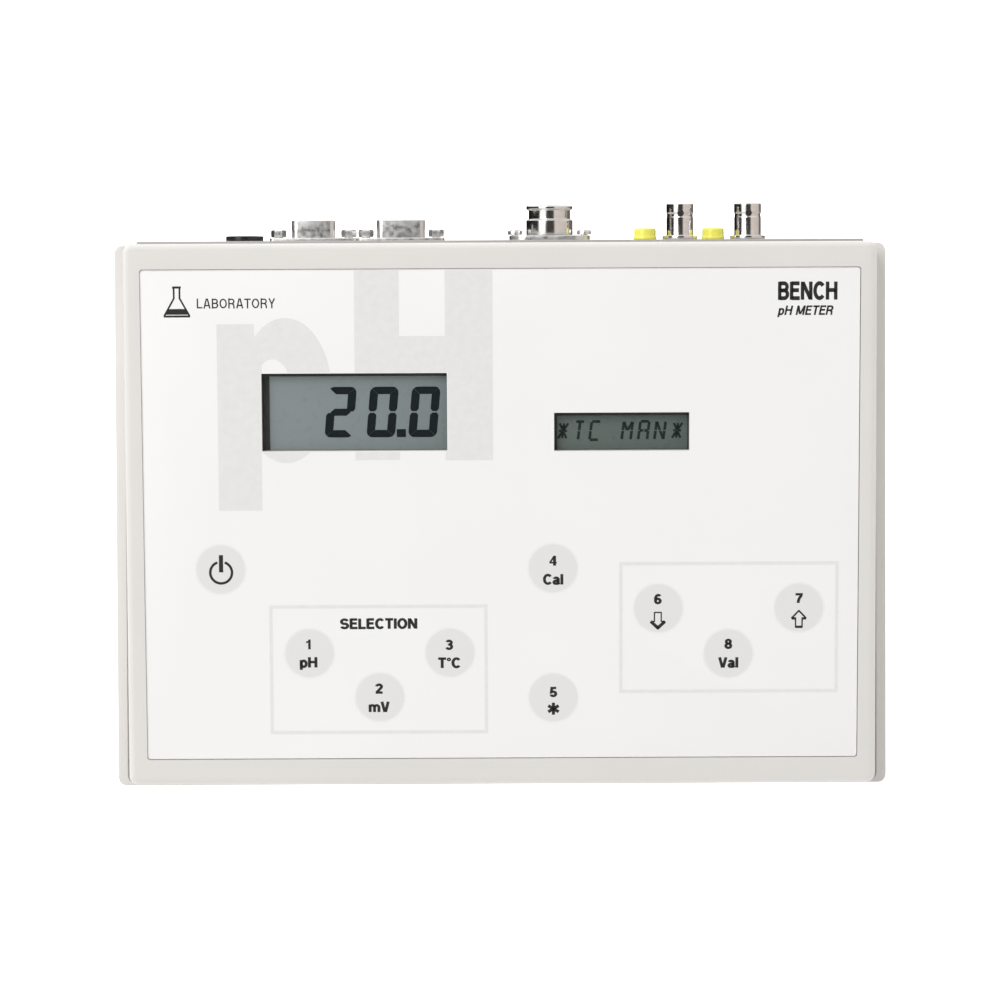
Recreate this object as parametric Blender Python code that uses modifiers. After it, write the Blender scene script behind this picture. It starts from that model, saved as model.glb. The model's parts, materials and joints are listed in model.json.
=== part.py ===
"""Benchtop pH meter: a sloping console with membrane keys, two displays and a row of rear sockets.

World frame in metres: +X to the user's right, +Y to the rear, +Z up. The origin is on the surface
that the meter stands on, under the middle of its outer box.

Two slanted frames carry what is fitted to the case:
  panel frame  x across, y up the slope from the cover's front top edge, z out of the sloping face
  rear frame   x across, y down the rear panel from the socket row, z out of the panel's outer face
"""

import math

import bmesh
import bpy
from mathutils import Matrix, Vector

# ---------------------------------------------------------------- driving dimensions, in metres
CLEARANCE = 0.0003          # left between any two pieces that seat on, in or against each other
EMBED = 0.001               # how far a boss or a mounted block is sunk into what carries it

# case
CASE_WIDTH = 0.2758         # base tray at its rear, side to side
TRAY_TAPER = 0.0007         # tray narrower at its front, on each side
SIDE_STEP = 0.0059          # front edge of the sloping top inside the case width, on each side
FACE_TAPER = 0.0009         # sloping top narrower at its rear, on each side
FACE_LENGTH = 0.1912        # sloping top of the cover, front edge to rear edge
FACE_FRONT_HEIGHT = 0.0397  # front edge of the sloping top above the table
SLOPE = math.radians(7.0)
DRAFT = math.radians(3.5)   # lean of the cover's walls
FRONT_STEP = 0.0005         # base tray in front of the cover's foot
PARTING_HEIGHT = 0.028
FOOT_HEIGHT = 0.0025        # underside of the tray above the table
WALL = 0.003
TOP_WALL = 0.004
FLOOR = 0.003
RIM_WIDTH = 0.0065          # inward flange round the tray's mouth that carries the cover
RIM_DEPTH = 0.004
CORNER_RADIUS = 0.003
TOP_EDGE_RADIUS = 0.0022
BASE_EDGE_RADIUS = 0.0015

# front panel
BEZEL = 0.0090              # cover face left in front of and behind the recess
SIDE_BEZEL = 0.0065         # and at each side of it
RECESS_CORNER = 0.001
SINK = 0.0006               # overlay surface below the cover face
OVERLAY_THICKNESS = 0.0008
PANE_THICKNESS = 0.001
PANE_LAP = 0.002            # pane hidden under the overlay on each side
MAIN_WINDOW = (-0.08300, -0.01870, 0.11880, 0.14540)   # x from, x to, y from, y to
AUX_WINDOW = (0.01880, 0.06600, 0.11820, 0.13160)
KEY_DIAMETER = 0.018
KEY_THICKNESS = 0.002
KEY_STEM_DIAMETER = 0.006
KEY_TRAVEL = 0.0005
KEY_GAP = 0.0003            # left over the switch at full travel
KEY_PLACES = {
    "key_power": (-0.0986, 0.0768),
    "key_1": (-0.0677, 0.0468),
    "key_2": (-0.0430, 0.0310),
    "key_3": (-0.0182, 0.0468),
    "key_4": (0.0182, 0.0767),
    "key_5": (0.0182, 0.0306),
    "key_6": (0.0552, 0.0623),
    "key_7": (0.1047, 0.0623),
    "key_8": (0.0799, 0.0461),
}

# electronics
BOARD_THICKNESS = 0.0016
LCD_BORDER = 0.004          # module round its window
LCD_THICKNESS = 0.0049
DISPLAY_BOARD_MARGINS = (0.020, 0.022, 0.0232)         # inside the sloping top: sides, front, rear
SWITCH_SIZE = 0.006
SWITCH_HEIGHT = 0.0035
SWITCH_BUTTON = (0.00175, 0.0012)                      # radius, height
MAIN_BOARD_WIDTH = 0.200
MAIN_BOARD_MARGINS = (0.0535, 0.0296)                  # inside the tray's outline: front, rear
MAIN_BOARD_HEIGHT = 0.012
BOARD_SCREW_INSET = 0.006
HEADER_SIZE = (0.034, 0.007, 0.006)
RIBBON_WIDTH = 0.030
RIBBON_THICKNESS = 0.0008
RIBBON_X = -0.020
RIBBON_MAIN_Y = -0.058      # header on the main board, from the board's rear edge
RIBBON_DISPLAY_Y = 0.080    # header under the display board, up the slope
SHIELD = (0.070, -0.029, 0.048, 0.038)                 # x, y from the rear edge, width, depth
SHIELD_HEIGHT = 0.014
SHIELD_WALL = 0.0006

# fasteners and feet
FOOT_DIAMETER = 0.014
FOOT_RECESS = 0.0015
FOOT_X = 0.100
SCREW_INSET_X = 0.0147      # case screws from the tray's sides
SCREW_INSET_Y = 0.014       # and from its front and rear
CASE_SCREW = {"shank": 0.004, "head": 0.008, "head_height": 0.0028, "length": 0.0225}
SMALL_SCREW = {"shank": 0.0024, "head": 0.005, "head_height": 0.0018, "length": 0.0058}
CASE_BOSS_DIAMETER = 0.010
COUNTERBORE_TOP = 0.010
CASE_BOSS_TOP = 0.020
POST_DIAMETER = 0.007

# rear panel and sockets
REAR_PLATE_INSET = 0.0052   # plate's ends inside the sloping top's width
REAR_PLATE_ABOVE = 0.0260   # plate above the socket row
REAR_PLATE_BELOW = 0.0235
REAR_PLATE_THICKNESS = 0.002
REAR_PLATE_PROUD = 0.0009   # outside the case's rear wall
REAR_PLATE_LAP = 0.0045     # plate seated on the case round the opening
SOCKET_HEIGHT = 0.033
DC_X = -0.0908
SERIAL_X = -0.0662
OUTPUT_X = -0.0351
PROBE_X = 0.0177
BANANA_X = {"reference_socket": 0.0517, "earth_socket": 0.0759}
BNC_X = {"ph_bnc": 0.0641, "aux_bnc": 0.0882}
BNC_REACH = 0.0130          # end of the coaxial sockets outside the plate
BNC_RADIUS = 0.0048
JACKSCREW_SPACING = 0.02499
PROBE_SCREW_SPACING = 0.0246

# facets of round shapes
FINE_SIDES = 24
ROUND_SIDES = 16
SMALL_SIDES = 10

# ---------------------------------------------------------------- worked-out places
FACE_WIDTH = CASE_WIDTH - 2 * SIDE_STEP
RECESS_WIDTH = FACE_WIDTH - 2 * SIDE_BEZEL
REAR_PLATE_WIDTH = FACE_WIDTH - 2 * REAR_PLATE_INSET
TAN_SLOPE = math.tan(SLOPE)
TAN_DRAFT = math.tan(DRAFT)
FACE_DEPTH = FACE_LENGTH * math.cos(SLOPE)
FACE_REAR_HEIGHT = FACE_FRONT_HEIGHT + FACE_LENGTH * math.sin(SLOPE)
FRONT_FLARE = (FACE_FRONT_HEIGHT - PARTING_HEIGHT) * TAN_DRAFT
SOCKET_FLARE = (FACE_REAR_HEIGHT - SOCKET_HEIGHT) * TAN_DRAFT
DEPTH = (FRONT_STEP + FRONT_FLARE + FACE_DEPTH + SOCKET_FLARE + REAR_PLATE_PROUD / math.cos(DRAFT)
         + BNC_REACH * math.cos(DRAFT) + BNC_RADIUS * math.sin(DRAFT))
TRAY_FRONT_Y = -DEPTH / 2
FACE_FRONT_Y = TRAY_FRONT_Y + FRONT_STEP + FRONT_FLARE
FACE_REAR_Y = FACE_FRONT_Y + FACE_DEPTH

OVERLAY_TOP = -SINK
OVERLAY_BOTTOM = OVERLAY_TOP - OVERLAY_THICKNESS
RECESS_FLOOR = OVERLAY_BOTTOM - CLEARANCE
PANE_BOTTOM = RECESS_FLOOR - PANE_THICKNESS
POCKET_FLOOR = PANE_BOTTOM - CLEARANCE
LCD_TOP = -TOP_WALL - CLEARANCE
LCD_BOTTOM = LCD_TOP - LCD_THICKNESS
BOARD_TOP = LCD_BOTTOM - CLEARANCE
BOARD_BOTTOM = BOARD_TOP - BOARD_THICKNESS
SWITCH_TOP = BOARD_TOP + SWITCH_HEIGHT + SWITCH_BUTTON[1]
KEY_STEM_END = SWITCH_TOP + KEY_TRAVEL + KEY_GAP
PLATE_INNER = -REAR_PLATE_THICKNESS
SEAT = PLATE_INNER - CLEARANCE                         # rear frame: where nuts bear


DISPLAY_BOARD = (DISPLAY_BOARD_MARGINS[0] - FACE_WIDTH / 2, FACE_WIDTH / 2 - DISPLAY_BOARD_MARGINS[0],
                 DISPLAY_BOARD_MARGINS[1], FACE_LENGTH - DISPLAY_BOARD_MARGINS[2])


def face_height(y):
    """Height of the cover's sloping face at world y."""
    return FACE_FRONT_HEIGHT + (y - FACE_FRONT_Y) * TAN_SLOPE


def rear_wall_y(z):
    """World y of the case's rear wall at height z."""
    return FACE_REAR_Y + (FACE_REAR_HEIGHT - z) * TAN_DRAFT


MAIN_BOARD_REAR_Y = rear_wall_y(PARTING_HEIGHT) - MAIN_BOARD_MARGINS[1]
MAIN_BOARD = (-MAIN_BOARD_WIDTH / 2, MAIN_BOARD_WIDTH / 2, TRAY_FRONT_Y + MAIN_BOARD_MARGINS[0],
              MAIN_BOARD_REAR_Y)


def on_main_board(x, y, width, depth):
    """The (x from, x to, y from, y to) rectangle of something placed from the board's rear edge."""
    middle = MAIN_BOARD_REAR_Y + y
    return x - width / 2, x + width / 2, middle - depth / 2, middle + depth / 2


# ---------------------------------------------------------------- scene set-up
for leftover in list(bpy.data.objects):
    bpy.data.objects.remove(leftover)

PARTS = bpy.data.collections.new("ph_meter")
TOOLS = bpy.data.collections.new("ph_meter_cutters")
for collection in (PARTS, TOOLS):
    bpy.context.scene.collection.children.link(collection)


def finish(name, colour, roughness, metallic=0.0, alpha=1.0):
    """A Principled material in one colour."""
    made = bpy.data.materials.new(name)
    made.use_nodes = True
    shader = made.node_tree.nodes["Principled BSDF"]
    shader.inputs["Base Color"].default_value = (*colour, 1.0)
    shader.inputs["Roughness"].default_value = roughness
    shader.inputs["Metallic"].default_value = metallic
    shader.inputs["Alpha"].default_value = alpha
    return made


HOUSING = finish("housing", (0.80, 0.79, 0.75), 0.55)
TRAY = finish("tray", (0.62, 0.61, 0.58), 0.55)
OVERLAY = finish("overlay", (0.90, 0.90, 0.88), 0.40)
KEY = finish("key", (0.76, 0.75, 0.73), 0.40)
PANE = finish("pane", (0.80, 0.84, 0.84), 0.05, alpha=0.35)
LCD = finish("lcd", (0.24, 0.29, 0.29), 0.25)
BOARD = finish("board", (0.05, 0.24, 0.12), 0.45)
RIBBON = finish("ribbon", (0.45, 0.45, 0.47), 0.50)
SHEET_STEEL = finish("sheet_steel", (0.70, 0.71, 0.72), 0.35, 1.0)
CHROME = finish("chrome", (0.82, 0.83, 0.84), 0.12, 1.0)
SCREW_STEEL = finish("screw_steel", (0.60, 0.60, 0.60), 0.30, 1.0)
BLACK_PLASTIC = finish("black_plastic", (0.03, 0.03, 0.03), 0.30)
YELLOW_PLASTIC = finish("yellow_plastic", (0.80, 0.62, 0.05), 0.35)
WHITE_PLASTIC = finish("white_plastic", (0.88, 0.87, 0.84), 0.40)
BRASS = finish("brass", (0.75, 0.60, 0.28), 0.25, 1.0)
RUBBER = finish("rubber", (0.05, 0.05, 0.05), 0.80)
REAR_PLATE = finish("rear_plate", (0.45, 0.46, 0.47), 0.45)


def frame(name, origin, turn):
    """An empty that carries the pieces of one slanted frame."""
    empty = bpy.data.objects.new(name, None)
    empty.matrix_world = Matrix.Translation(origin) @ Matrix.Rotation(turn, 4, "X")
    PARTS.objects.link(empty)
    return empty


PANEL = frame("panel_frame", (0, FACE_FRONT_Y, FACE_FRONT_HEIGHT), SLOPE)
SOCKET_ORIGIN_Y = rear_wall_y(SOCKET_HEIGHT) + REAR_PLATE_PROUD / math.cos(DRAFT)
REAR = frame("rear_frame", (0, SOCKET_ORIGIN_Y, SOCKET_HEIGHT), DRAFT - math.pi / 2)


# ---------------------------------------------------------------- building blocks
def add_box(bm, low, high):
    """A box primitive from its low corner to its high corner."""
    low, high = Vector(low), Vector(high)
    place = Matrix.Translation((low + high) / 2) @ Matrix.Diagonal((*(high - low), 1))
    return bmesh.ops.create_cube(bm, size=1, matrix=place)["verts"]


def add_rod(bm, diameter, low, high, at=(0, 0), segments=ROUND_SIDES):
    """A round rod along z between two heights."""
    place = Matrix.Translation((at[0], at[1], (low + high) / 2))
    bmesh.ops.create_cone(bm, cap_ends=True, segments=segments, radius1=diameter / 2,
                          radius2=diameter / 2, depth=high - low, matrix=place)


def round_edges(bm, radius, picks, segments=2):
    """Round the edges that picks(edge) chooses."""
    edges = [edge for edge in bm.edges if picks(edge)]
    bmesh.ops.bevel(bm, geom=edges, offset=radius, segments=segments, profile=0.5, affect="EDGES")


def rises(edge):
    """True for an edge that runs mainly along z."""
    along = edge.verts[0].co - edge.verts[1].co
    return abs(along.z) > 0.9 * along.length


def lies_at(height):
    """A test for flat edges at one height."""
    return lambda edge: all(abs(vert.co.z - height) < CLEARANCE / 3 for vert in edge.verts)


def rounded_plate(bm, low, high, radius):
    """A box whose four upright edges are rounded."""
    add_box(bm, low, high)
    round_edges(bm, radius, rises)


def place(name, mesh, parent, at, group):
    """Link a mesh as an object at a place in its parent frame."""
    made = bpy.data.objects.new(name, mesh)
    group.objects.link(made)
    made.parent = parent
    made.location = at
    return made


def piece(name, bm, look, parent=None, at=(0, 0, 0)):
    """One solid sub-part from a bmesh."""
    mesh = bpy.data.meshes.new(name)
    bm.to_mesh(mesh)
    bm.free()
    mesh.shade_smooth()
    mesh.set_sharp_from_angle(angle=math.radians(35))
    mesh.materials.append(look)
    return place(name, mesh, parent, at, PARTS)


def turned(name, profile, look, parent=None, at=(0, 0, 0), steps=ROUND_SIDES):
    """One turned sub-part: the profile's (radius, z) points run down its outer side."""
    closed = profile[0][0] > 0
    points = len(profile)
    edges = [(i, (i + 1) % points) for i in range(points if closed else points - 1)]
    mesh = bpy.data.meshes.new(name)
    mesh.from_pydata([(radius, 0, z) for radius, z in profile], edges, [])
    mesh.materials.append(look)
    made = place(name, mesh, parent, at, PARTS)
    screw = made.modifiers.new("turn", "SCREW")
    screw.steps = steps
    screw.render_steps = steps
    screw.use_merge_vertices = True
    screw.merge_threshold = 0.00001
    return made


def combine(target, name, bm, operation, parent):
    """Cut or join a helper solid, which stays in the cutters' collection."""
    mesh = bpy.data.meshes.new(name)
    bm.to_mesh(mesh)
    bm.free()
    helper = place(name, mesh, parent, (0, 0, 0), TOOLS)
    helper.hide_render = True
    helper.display_type = "WIRE"
    boolean = target.modifiers.new(name, "BOOLEAN")
    boolean.operation = operation
    boolean.solver = "EXACT"
    boolean.object = helper
    return helper


def cut(target, name, bm, parent=None):
    """Take a helper solid away from the target."""
    return combine(target, name, bm, "DIFFERENCE", parent)


def join(target, name, bm, parent=None):
    """Make a helper solid one with the target."""
    return combine(target, name, bm, "UNION", parent)


def corners_of(rectangle, inset):
    """The four corners of an (x from, x to, y from, y to) rectangle, moved inwards."""
    left, right, front, rear = rectangle
    return [(x, y) for x in (left + inset, right - inset) for y in (front + inset, rear - inset)]


# ---------------------------------------------------------------- case
def wedge(bm, inset, drop, floor):
    """The case's drafted block with its walls moved in by inset and its top lowered by drop."""
    lean = TAN_SLOPE * TAN_DRAFT
    front = (inset - drop * TAN_DRAFT) / (1 - lean)
    rear = -(inset - drop * TAN_DRAFT) / (1 + lean)
    top = {-1: FACE_FRONT_Y + front, 1: FACE_REAR_Y + rear}
    foot = {-1: FACE_FRONT_Y + inset - (FACE_FRONT_HEIGHT - floor) * TAN_DRAFT,
            1: rear_wall_y(floor) - inset}
    for vert in bmesh.ops.create_cube(bm, size=2)["verts"]:
        side, end, up = (round(value) for value in vert.co)
        y = top[end] if up > 0 else foot[end]
        z = face_height(y) - drop if up > 0 else floor
        narrowing = FACE_TAPER * (y - FACE_FRONT_Y) / FACE_DEPTH
        half = FACE_WIDTH / 2 - narrowing - inset + (face_height(y) - z) * TAN_DRAFT
        vert.co = (side * half, y, z)


CASE_SCREWS = [(x, y) for x in (-(CASE_WIDTH / 2 - SCREW_INSET_X), CASE_WIDTH / 2 - SCREW_INSET_X)
               for y in (TRAY_FRONT_Y + SCREW_INSET_Y, rear_wall_y(PARTING_HEIGHT) - SCREW_INSET_Y)]
DISPLAY_SCREWS = corners_of(DISPLAY_BOARD, BOARD_SCREW_INSET)
MAIN_SCREWS = corners_of(MAIN_BOARD, BOARD_SCREW_INSET)
RECESS = (-RECESS_WIDTH / 2, RECESS_WIDTH / 2, BEZEL, FACE_LENGTH - BEZEL)


def rear_opening(target, tag):
    """The opening in the rear wall and the rebate that the rear panel sits in."""
    half = REAR_PLATE_WIDTH / 2
    rebate = bmesh.new()
    add_box(rebate, (-half - CLEARANCE, -REAR_PLATE_ABOVE - CLEARANCE, SEAT),
            (half + CLEARANCE, REAR_PLATE_BELOW + CLEARANCE, WALL))
    cut(target, tag + "_rebate", rebate, REAR)
    opening = bmesh.new()
    add_box(opening, (-half + REAR_PLATE_LAP, -REAR_PLATE_ABOVE + REAR_PLATE_LAP, -3 * WALL),
            (half - REAR_PLATE_LAP, REAR_PLATE_BELOW - REAR_PLATE_LAP, WALL))
    cut(target, tag + "_opening", opening, REAR)


def slab(bm, rectangle, low, high, grow=0.0):
    """A box over an (x from, x to, y from, y to) rectangle, grown on its four sides."""
    left, right, front, rear = rectangle
    add_box(bm, (left - grow, front - grow, low), (right + grow, rear + grow, high))


def make_cover():
    """Top cover: drafted shell with the panel recess, windows, key holes, bosses and posts."""
    foot = PARTING_HEIGHT + CLEARANCE
    shell = bmesh.new()
    wedge(shell, 0, 0, foot)
    round_edges(shell, CORNER_RADIUS, rises)
    on_top = FACE_FRONT_HEIGHT - CLEARANCE
    round_edges(shell, TOP_EDGE_RADIUS, lambda edge: min(v.co.z for v in edge.verts) > on_top)
    cover = piece("top_cover", shell, HOUSING)

    hollow = bmesh.new()
    wedge(hollow, WALL, TOP_WALL / math.cos(SLOPE), foot - WALL)
    cut(cover, "cover_hollow", hollow)

    bosses = bmesh.new()
    for x, y in CASE_SCREWS:
        ceiling = face_height(y) - TOP_WALL / math.cos(SLOPE)
        add_rod(bosses, CASE_BOSS_DIAMETER, CASE_BOSS_TOP + CLEARANCE, ceiling + EMBED, (x, y))
    join(cover, "cover_bosses", bosses)
    posts = bmesh.new()
    for spot in DISPLAY_SCREWS:
        add_rod(posts, POST_DIAMETER, BOARD_TOP + CLEARANCE, EMBED - TOP_WALL, spot)
    join(cover, "cover_posts", posts, PANEL)

    recess = bmesh.new()
    rounded_plate(recess, (RECESS[0], RECESS[2], RECESS_FLOOR), (RECESS[1], RECESS[3], WALL),
                  RECESS_CORNER)
    cut(cover, "cover_recess", recess, PANEL)
    pockets = bmesh.new()
    through = bmesh.new()
    for window in (MAIN_WINDOW, AUX_WINDOW):
        slab(pockets, window, POCKET_FLOOR, WALL, PANE_LAP + CLEARANCE)
        slab(through, window, -2 * TOP_WALL, WALL)
    for spot in KEY_PLACES.values():
        add_rod(through, KEY_DIAMETER + 2 * CLEARANCE, -2 * TOP_WALL, WALL, spot, FINE_SIDES)
    cut(cover, "cover_pockets", pockets, PANEL)
    cut(cover, "cover_through", through, PANEL)

    pilots = bmesh.new()
    for spot in CASE_SCREWS:
        tip = COUNTERBORE_TOP + CASE_SCREW["length"] + CLEARANCE
        add_rod(pilots, CASE_SCREW["shank"] + 2 * CLEARANCE, CASE_BOSS_TOP - WALL, tip, spot)
    cut(cover, "cover_screw_holes", pilots)
    small_pilots = bmesh.new()
    for spot in DISPLAY_SCREWS:
        tip = BOARD_BOTTOM + SMALL_SCREW["length"] + CLEARANCE
        add_rod(small_pilots, SMALL_SCREW["shank"] + 2 * CLEARANCE, BOARD_BOTTOM, tip, spot, SMALL_SIDES)
    cut(cover, "cover_post_holes", small_pilots, PANEL)
    rear_opening(cover, "cover_rear")


def make_tray():
    """Base tray: floor, walls and rim, with its bosses, screw wells and foot recesses."""
    half = CASE_WIDTH / 2 - TRAY_TAPER
    block = bmesh.new()
    for vert in bmesh.ops.create_cube(block, size=2)["verts"]:
        z = PARTING_HEIGHT if vert.co.z > 0 else FOOT_HEIGHT
        y, widening = (rear_wall_y(z), TRAY_TAPER) if vert.co.y > 0 else (TRAY_FRONT_Y, 0)
        vert.co = (math.copysign(half + widening, vert.co.x), y, z)
    round_edges(block, CORNER_RADIUS, rises)
    round_edges(block, BASE_EDGE_RADIUS, lies_at(FOOT_HEIGHT))
    tray = piece("base_tray", block, TRAY)

    rear = rear_wall_y(PARTING_HEIGHT)
    floor_top = FOOT_HEIGHT + FLOOR
    well = bmesh.new()
    slab(well, (-half + WALL, half - WALL, TRAY_FRONT_Y + WALL, rear - WALL), floor_top,
         PARTING_HEIGHT - RIM_DEPTH)
    cut(tray, "tray_well", well)
    mouth = bmesh.new()
    slab(mouth, (-half + RIM_WIDTH, half - RIM_WIDTH, TRAY_FRONT_Y + RIM_WIDTH, rear - RIM_WIDTH),
         floor_top + WALL, PARTING_HEIGHT + WALL)
    cut(tray, "tray_mouth", mouth)

    bosses = bmesh.new()
    for spot in CASE_SCREWS:
        add_rod(bosses, CASE_BOSS_DIAMETER + WALL, FOOT_HEIGHT + EMBED, CASE_BOSS_TOP, spot)
    for spot in MAIN_SCREWS:
        add_rod(bosses, POST_DIAMETER, FOOT_HEIGHT + EMBED, MAIN_BOARD_HEIGHT - CLEARANCE, spot)
    join(tray, "tray_bosses", bosses)

    wells = bmesh.new()
    for spot in CASE_SCREWS:
        add_rod(wells, CASE_SCREW["head"] + 2 * CLEARANCE, 0, COUNTERBORE_TOP, spot)
    for x in (-FOOT_X, FOOT_X):
        for y in FOOT_YS:
            add_rod(wells, FOOT_DIAMETER + 2 * CLEARANCE, 0, FOOT_HEIGHT + FOOT_RECESS, (x, y))
    cut(tray, "tray_wells", wells)
    holes = bmesh.new()
    for spot in CASE_SCREWS:
        add_rod(holes, CASE_SCREW["shank"] + 2 * CLEARANCE, 0, PARTING_HEIGHT, spot)
    for spot in MAIN_SCREWS:
        tip = MAIN_BOARD_HEIGHT + BOARD_THICKNESS - SMALL_SCREW["length"] - CLEARANCE
        add_rod(holes, SMALL_SCREW["shank"] + 2 * CLEARANCE, tip, PARTING_HEIGHT, spot, SMALL_SIDES)
    cut(tray, "tray_holes", holes)
    rear_opening(tray, "tray_rear")


FOOT_YS = (TRAY_FRONT_Y + SCREW_INSET_Y, rear_wall_y(PARTING_HEIGHT) - SCREW_INSET_Y)


def make_feet():
    """Four rubber feet pressed up into the tray's recesses."""
    top = FOOT_HEIGHT + FOOT_RECESS - CLEARANCE
    radius = FOOT_DIAMETER / 2
    chamfer = FOOT_HEIGHT / 4
    profile = [(0, top), (radius, top), (radius, chamfer), (radius - chamfer, 0), (0, 0)]
    spots = [(x, y) for x in (-FOOT_X, FOOT_X) for y in FOOT_YS]
    for number, (x, y) in enumerate(spots, 1):
        turned(f"foot_{number}", profile, RUBBER, at=(x, y, 0))


def make_screw(name, sizes, parent, at, upwards):
    """A round-headed screw whose head bears at z = 0; upwards points its tip along +z."""
    shank = sizes["shank"] / 2
    head = sizes["head"] / 2
    shoulder = sizes["head_height"] * 0.6
    profile = [(0, sizes["length"]), (shank / 2, sizes["length"]), (shank, sizes["length"] - shank),
               (shank, 0), (head, 0), (head, -shoulder), (head * 0.7, -sizes["head_height"]),
               (0, -sizes["head_height"])]
    made = turned(name, profile, SCREW_STEEL, parent, at, SMALL_SIDES)
    if not upwards:
        made.rotation_euler.x = math.pi


# ---------------------------------------------------------------- front panel
def make_overlay():
    """The membrane overlay that fills the recess, open at the keys and windows."""
    sheet = bmesh.new()
    left, right, front, rear = RECESS
    rounded_plate(sheet, (left + CLEARANCE, front + CLEARANCE, OVERLAY_BOTTOM),
                  (right - CLEARANCE, rear - CLEARANCE, OVERLAY_TOP), RECESS_CORNER)
    overlay = piece("front_overlay", sheet, OVERLAY, PANEL)
    holes = bmesh.new()
    for window in (MAIN_WINDOW, AUX_WINDOW):
        slab(holes, window, -WALL, WALL)
    for spot in KEY_PLACES.values():
        add_rod(holes, KEY_DIAMETER + 2 * CLEARANCE, -WALL, WALL, spot, FINE_SIDES)
    cut(overlay, "overlay_holes", holes, PANEL)


def make_keys():
    """Nine round keys, each with a stem that reaches its switch."""
    radius = KEY_DIAMETER / 2
    stem = KEY_STEM_DIAMETER / 2
    underside = OVERLAY_TOP - KEY_THICKNESS
    profile = [(0, OVERLAY_TOP), (radius, OVERLAY_TOP), (radius, underside), (stem, underside),
               (stem, KEY_STEM_END), (0, KEY_STEM_END)]
    for name, (x, y) in KEY_PLACES.items():
        turned(name, profile, KEY, PANEL, (x, y, 0), FINE_SIDES)


def make_displays():
    """The two window panes and the display modules behind them."""
    for name, window in (("main", MAIN_WINDOW), ("aux", AUX_WINDOW)):
        pane = bmesh.new()
        slab(pane, window, PANE_BOTTOM, RECESS_FLOOR, PANE_LAP)
        piece(name + "_window", pane, PANE, PANEL)
        module = bmesh.new()
        slab(module, window, LCD_BOTTOM, LCD_TOP, LCD_BORDER)
        piece(name + "_lcd", module, LCD, PANEL)


# ---------------------------------------------------------------- electronics
def drill(target, name, spots, parent=None):
    """Clearance holes for the small screws through a board."""
    holes = bmesh.new()
    beyond = 2 * FACE_REAR_HEIGHT
    for spot in spots:
        add_rod(holes, SMALL_SCREW["shank"] + 2 * CLEARANCE, -beyond, beyond, spot, SMALL_SIDES)
    cut(target, name, holes, parent)


def make_display_board():
    """The board under the panel with a switch for each key and the ribbon header below."""
    sheet = bmesh.new()
    slab(sheet, DISPLAY_BOARD, BOARD_BOTTOM, BOARD_TOP)
    board = piece("display_board", sheet, BOARD, PANEL)
    switches = bmesh.new()
    buttons = bmesh.new()
    half = SWITCH_SIZE / 2
    for x, y in KEY_PLACES.values():
        add_box(switches, (x - half, y - half, BOARD_TOP - EMBED),
                (x + half, y + half, BOARD_TOP + SWITCH_HEIGHT))
        add_rod(buttons, 2 * SWITCH_BUTTON[0], BOARD_TOP + EMBED, SWITCH_TOP, (x, y), SMALL_SIDES)
    join(board, "switch_bodies", switches, PANEL)
    join(board, "switch_buttons", buttons, PANEL)
    header = bmesh.new()
    wide, deep, tall = HEADER_SIZE
    slab(header, (RIBBON_X - wide / 2, RIBBON_X + wide / 2, RIBBON_DISPLAY_Y - deep / 2,
                  RIBBON_DISPLAY_Y + deep / 2), BOARD_BOTTOM - tall, BOARD_BOTTOM + EMBED)
    join(board, "display_header", header, PANEL)
    drill(board, "display_board_holes", DISPLAY_SCREWS, PANEL)
    for number, (x, y) in enumerate(DISPLAY_SCREWS, 1):
        make_screw(f"display_board_screw_{number}", SMALL_SCREW, PANEL,
                   (x, y, BOARD_BOTTOM - CLEARANCE), True)


def make_main_board():
    """The main board on the tray's posts, with its larger components."""
    top = MAIN_BOARD_HEIGHT + BOARD_THICKNESS
    sheet = bmesh.new()
    slab(sheet, MAIN_BOARD, MAIN_BOARD_HEIGHT, top)
    board = piece("main_board", sheet, BOARD)
    parts = bmesh.new()
    wide, deep, tall = HEADER_SIZE
    blocks = [
        (RIBBON_X, RIBBON_MAIN_Y, wide, deep, tall),   # ribbon header
        (-0.060, -0.030, 0.014, 0.014, 0.0020),        # processor
        (-0.030, -0.024, 0.010, 0.007, 0.0018),        # serial driver
        (0.020, -0.030, 0.018, 0.010, 0.0025),         # converter
        (-0.084, -0.040, 0.012, 0.006, 0.0100),        # regulator
        (0.020, -0.062, 0.016, 0.012, 0.0080),         # relay
    ]
    for x, y, wide, deep, tall in blocks:
        slab(parts, on_main_board(x, y, wide, deep), top - EMBED, top + tall)
    for x in (-0.084, -0.072, -0.060):
        add_rod(parts, 0.008, top - EMBED, top + 0.010, (x, MAIN_BOARD_REAR_Y - 0.056))
    join(board, "board_components", parts)
    drill(board, "main_board_holes", MAIN_SCREWS)
    for number, (x, y) in enumerate(MAIN_SCREWS, 1):
        make_screw(f"main_board_screw_{number}", SMALL_SCREW, None, (x, y, top + CLEARANCE), False)

    footprint = on_main_board(*SHIELD)
    can = bmesh.new()
    slab(can, footprint, top + CLEARANCE, top + SHIELD_HEIGHT)
    shield = piece("input_shield", can, SHEET_STEEL)
    inside = bmesh.new()
    slab(inside, footprint, MAIN_BOARD_HEIGHT, top + SHIELD_HEIGHT - SHIELD_WALL, -SHIELD_WALL)
    cut(shield, "shield_inside", inside)


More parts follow.
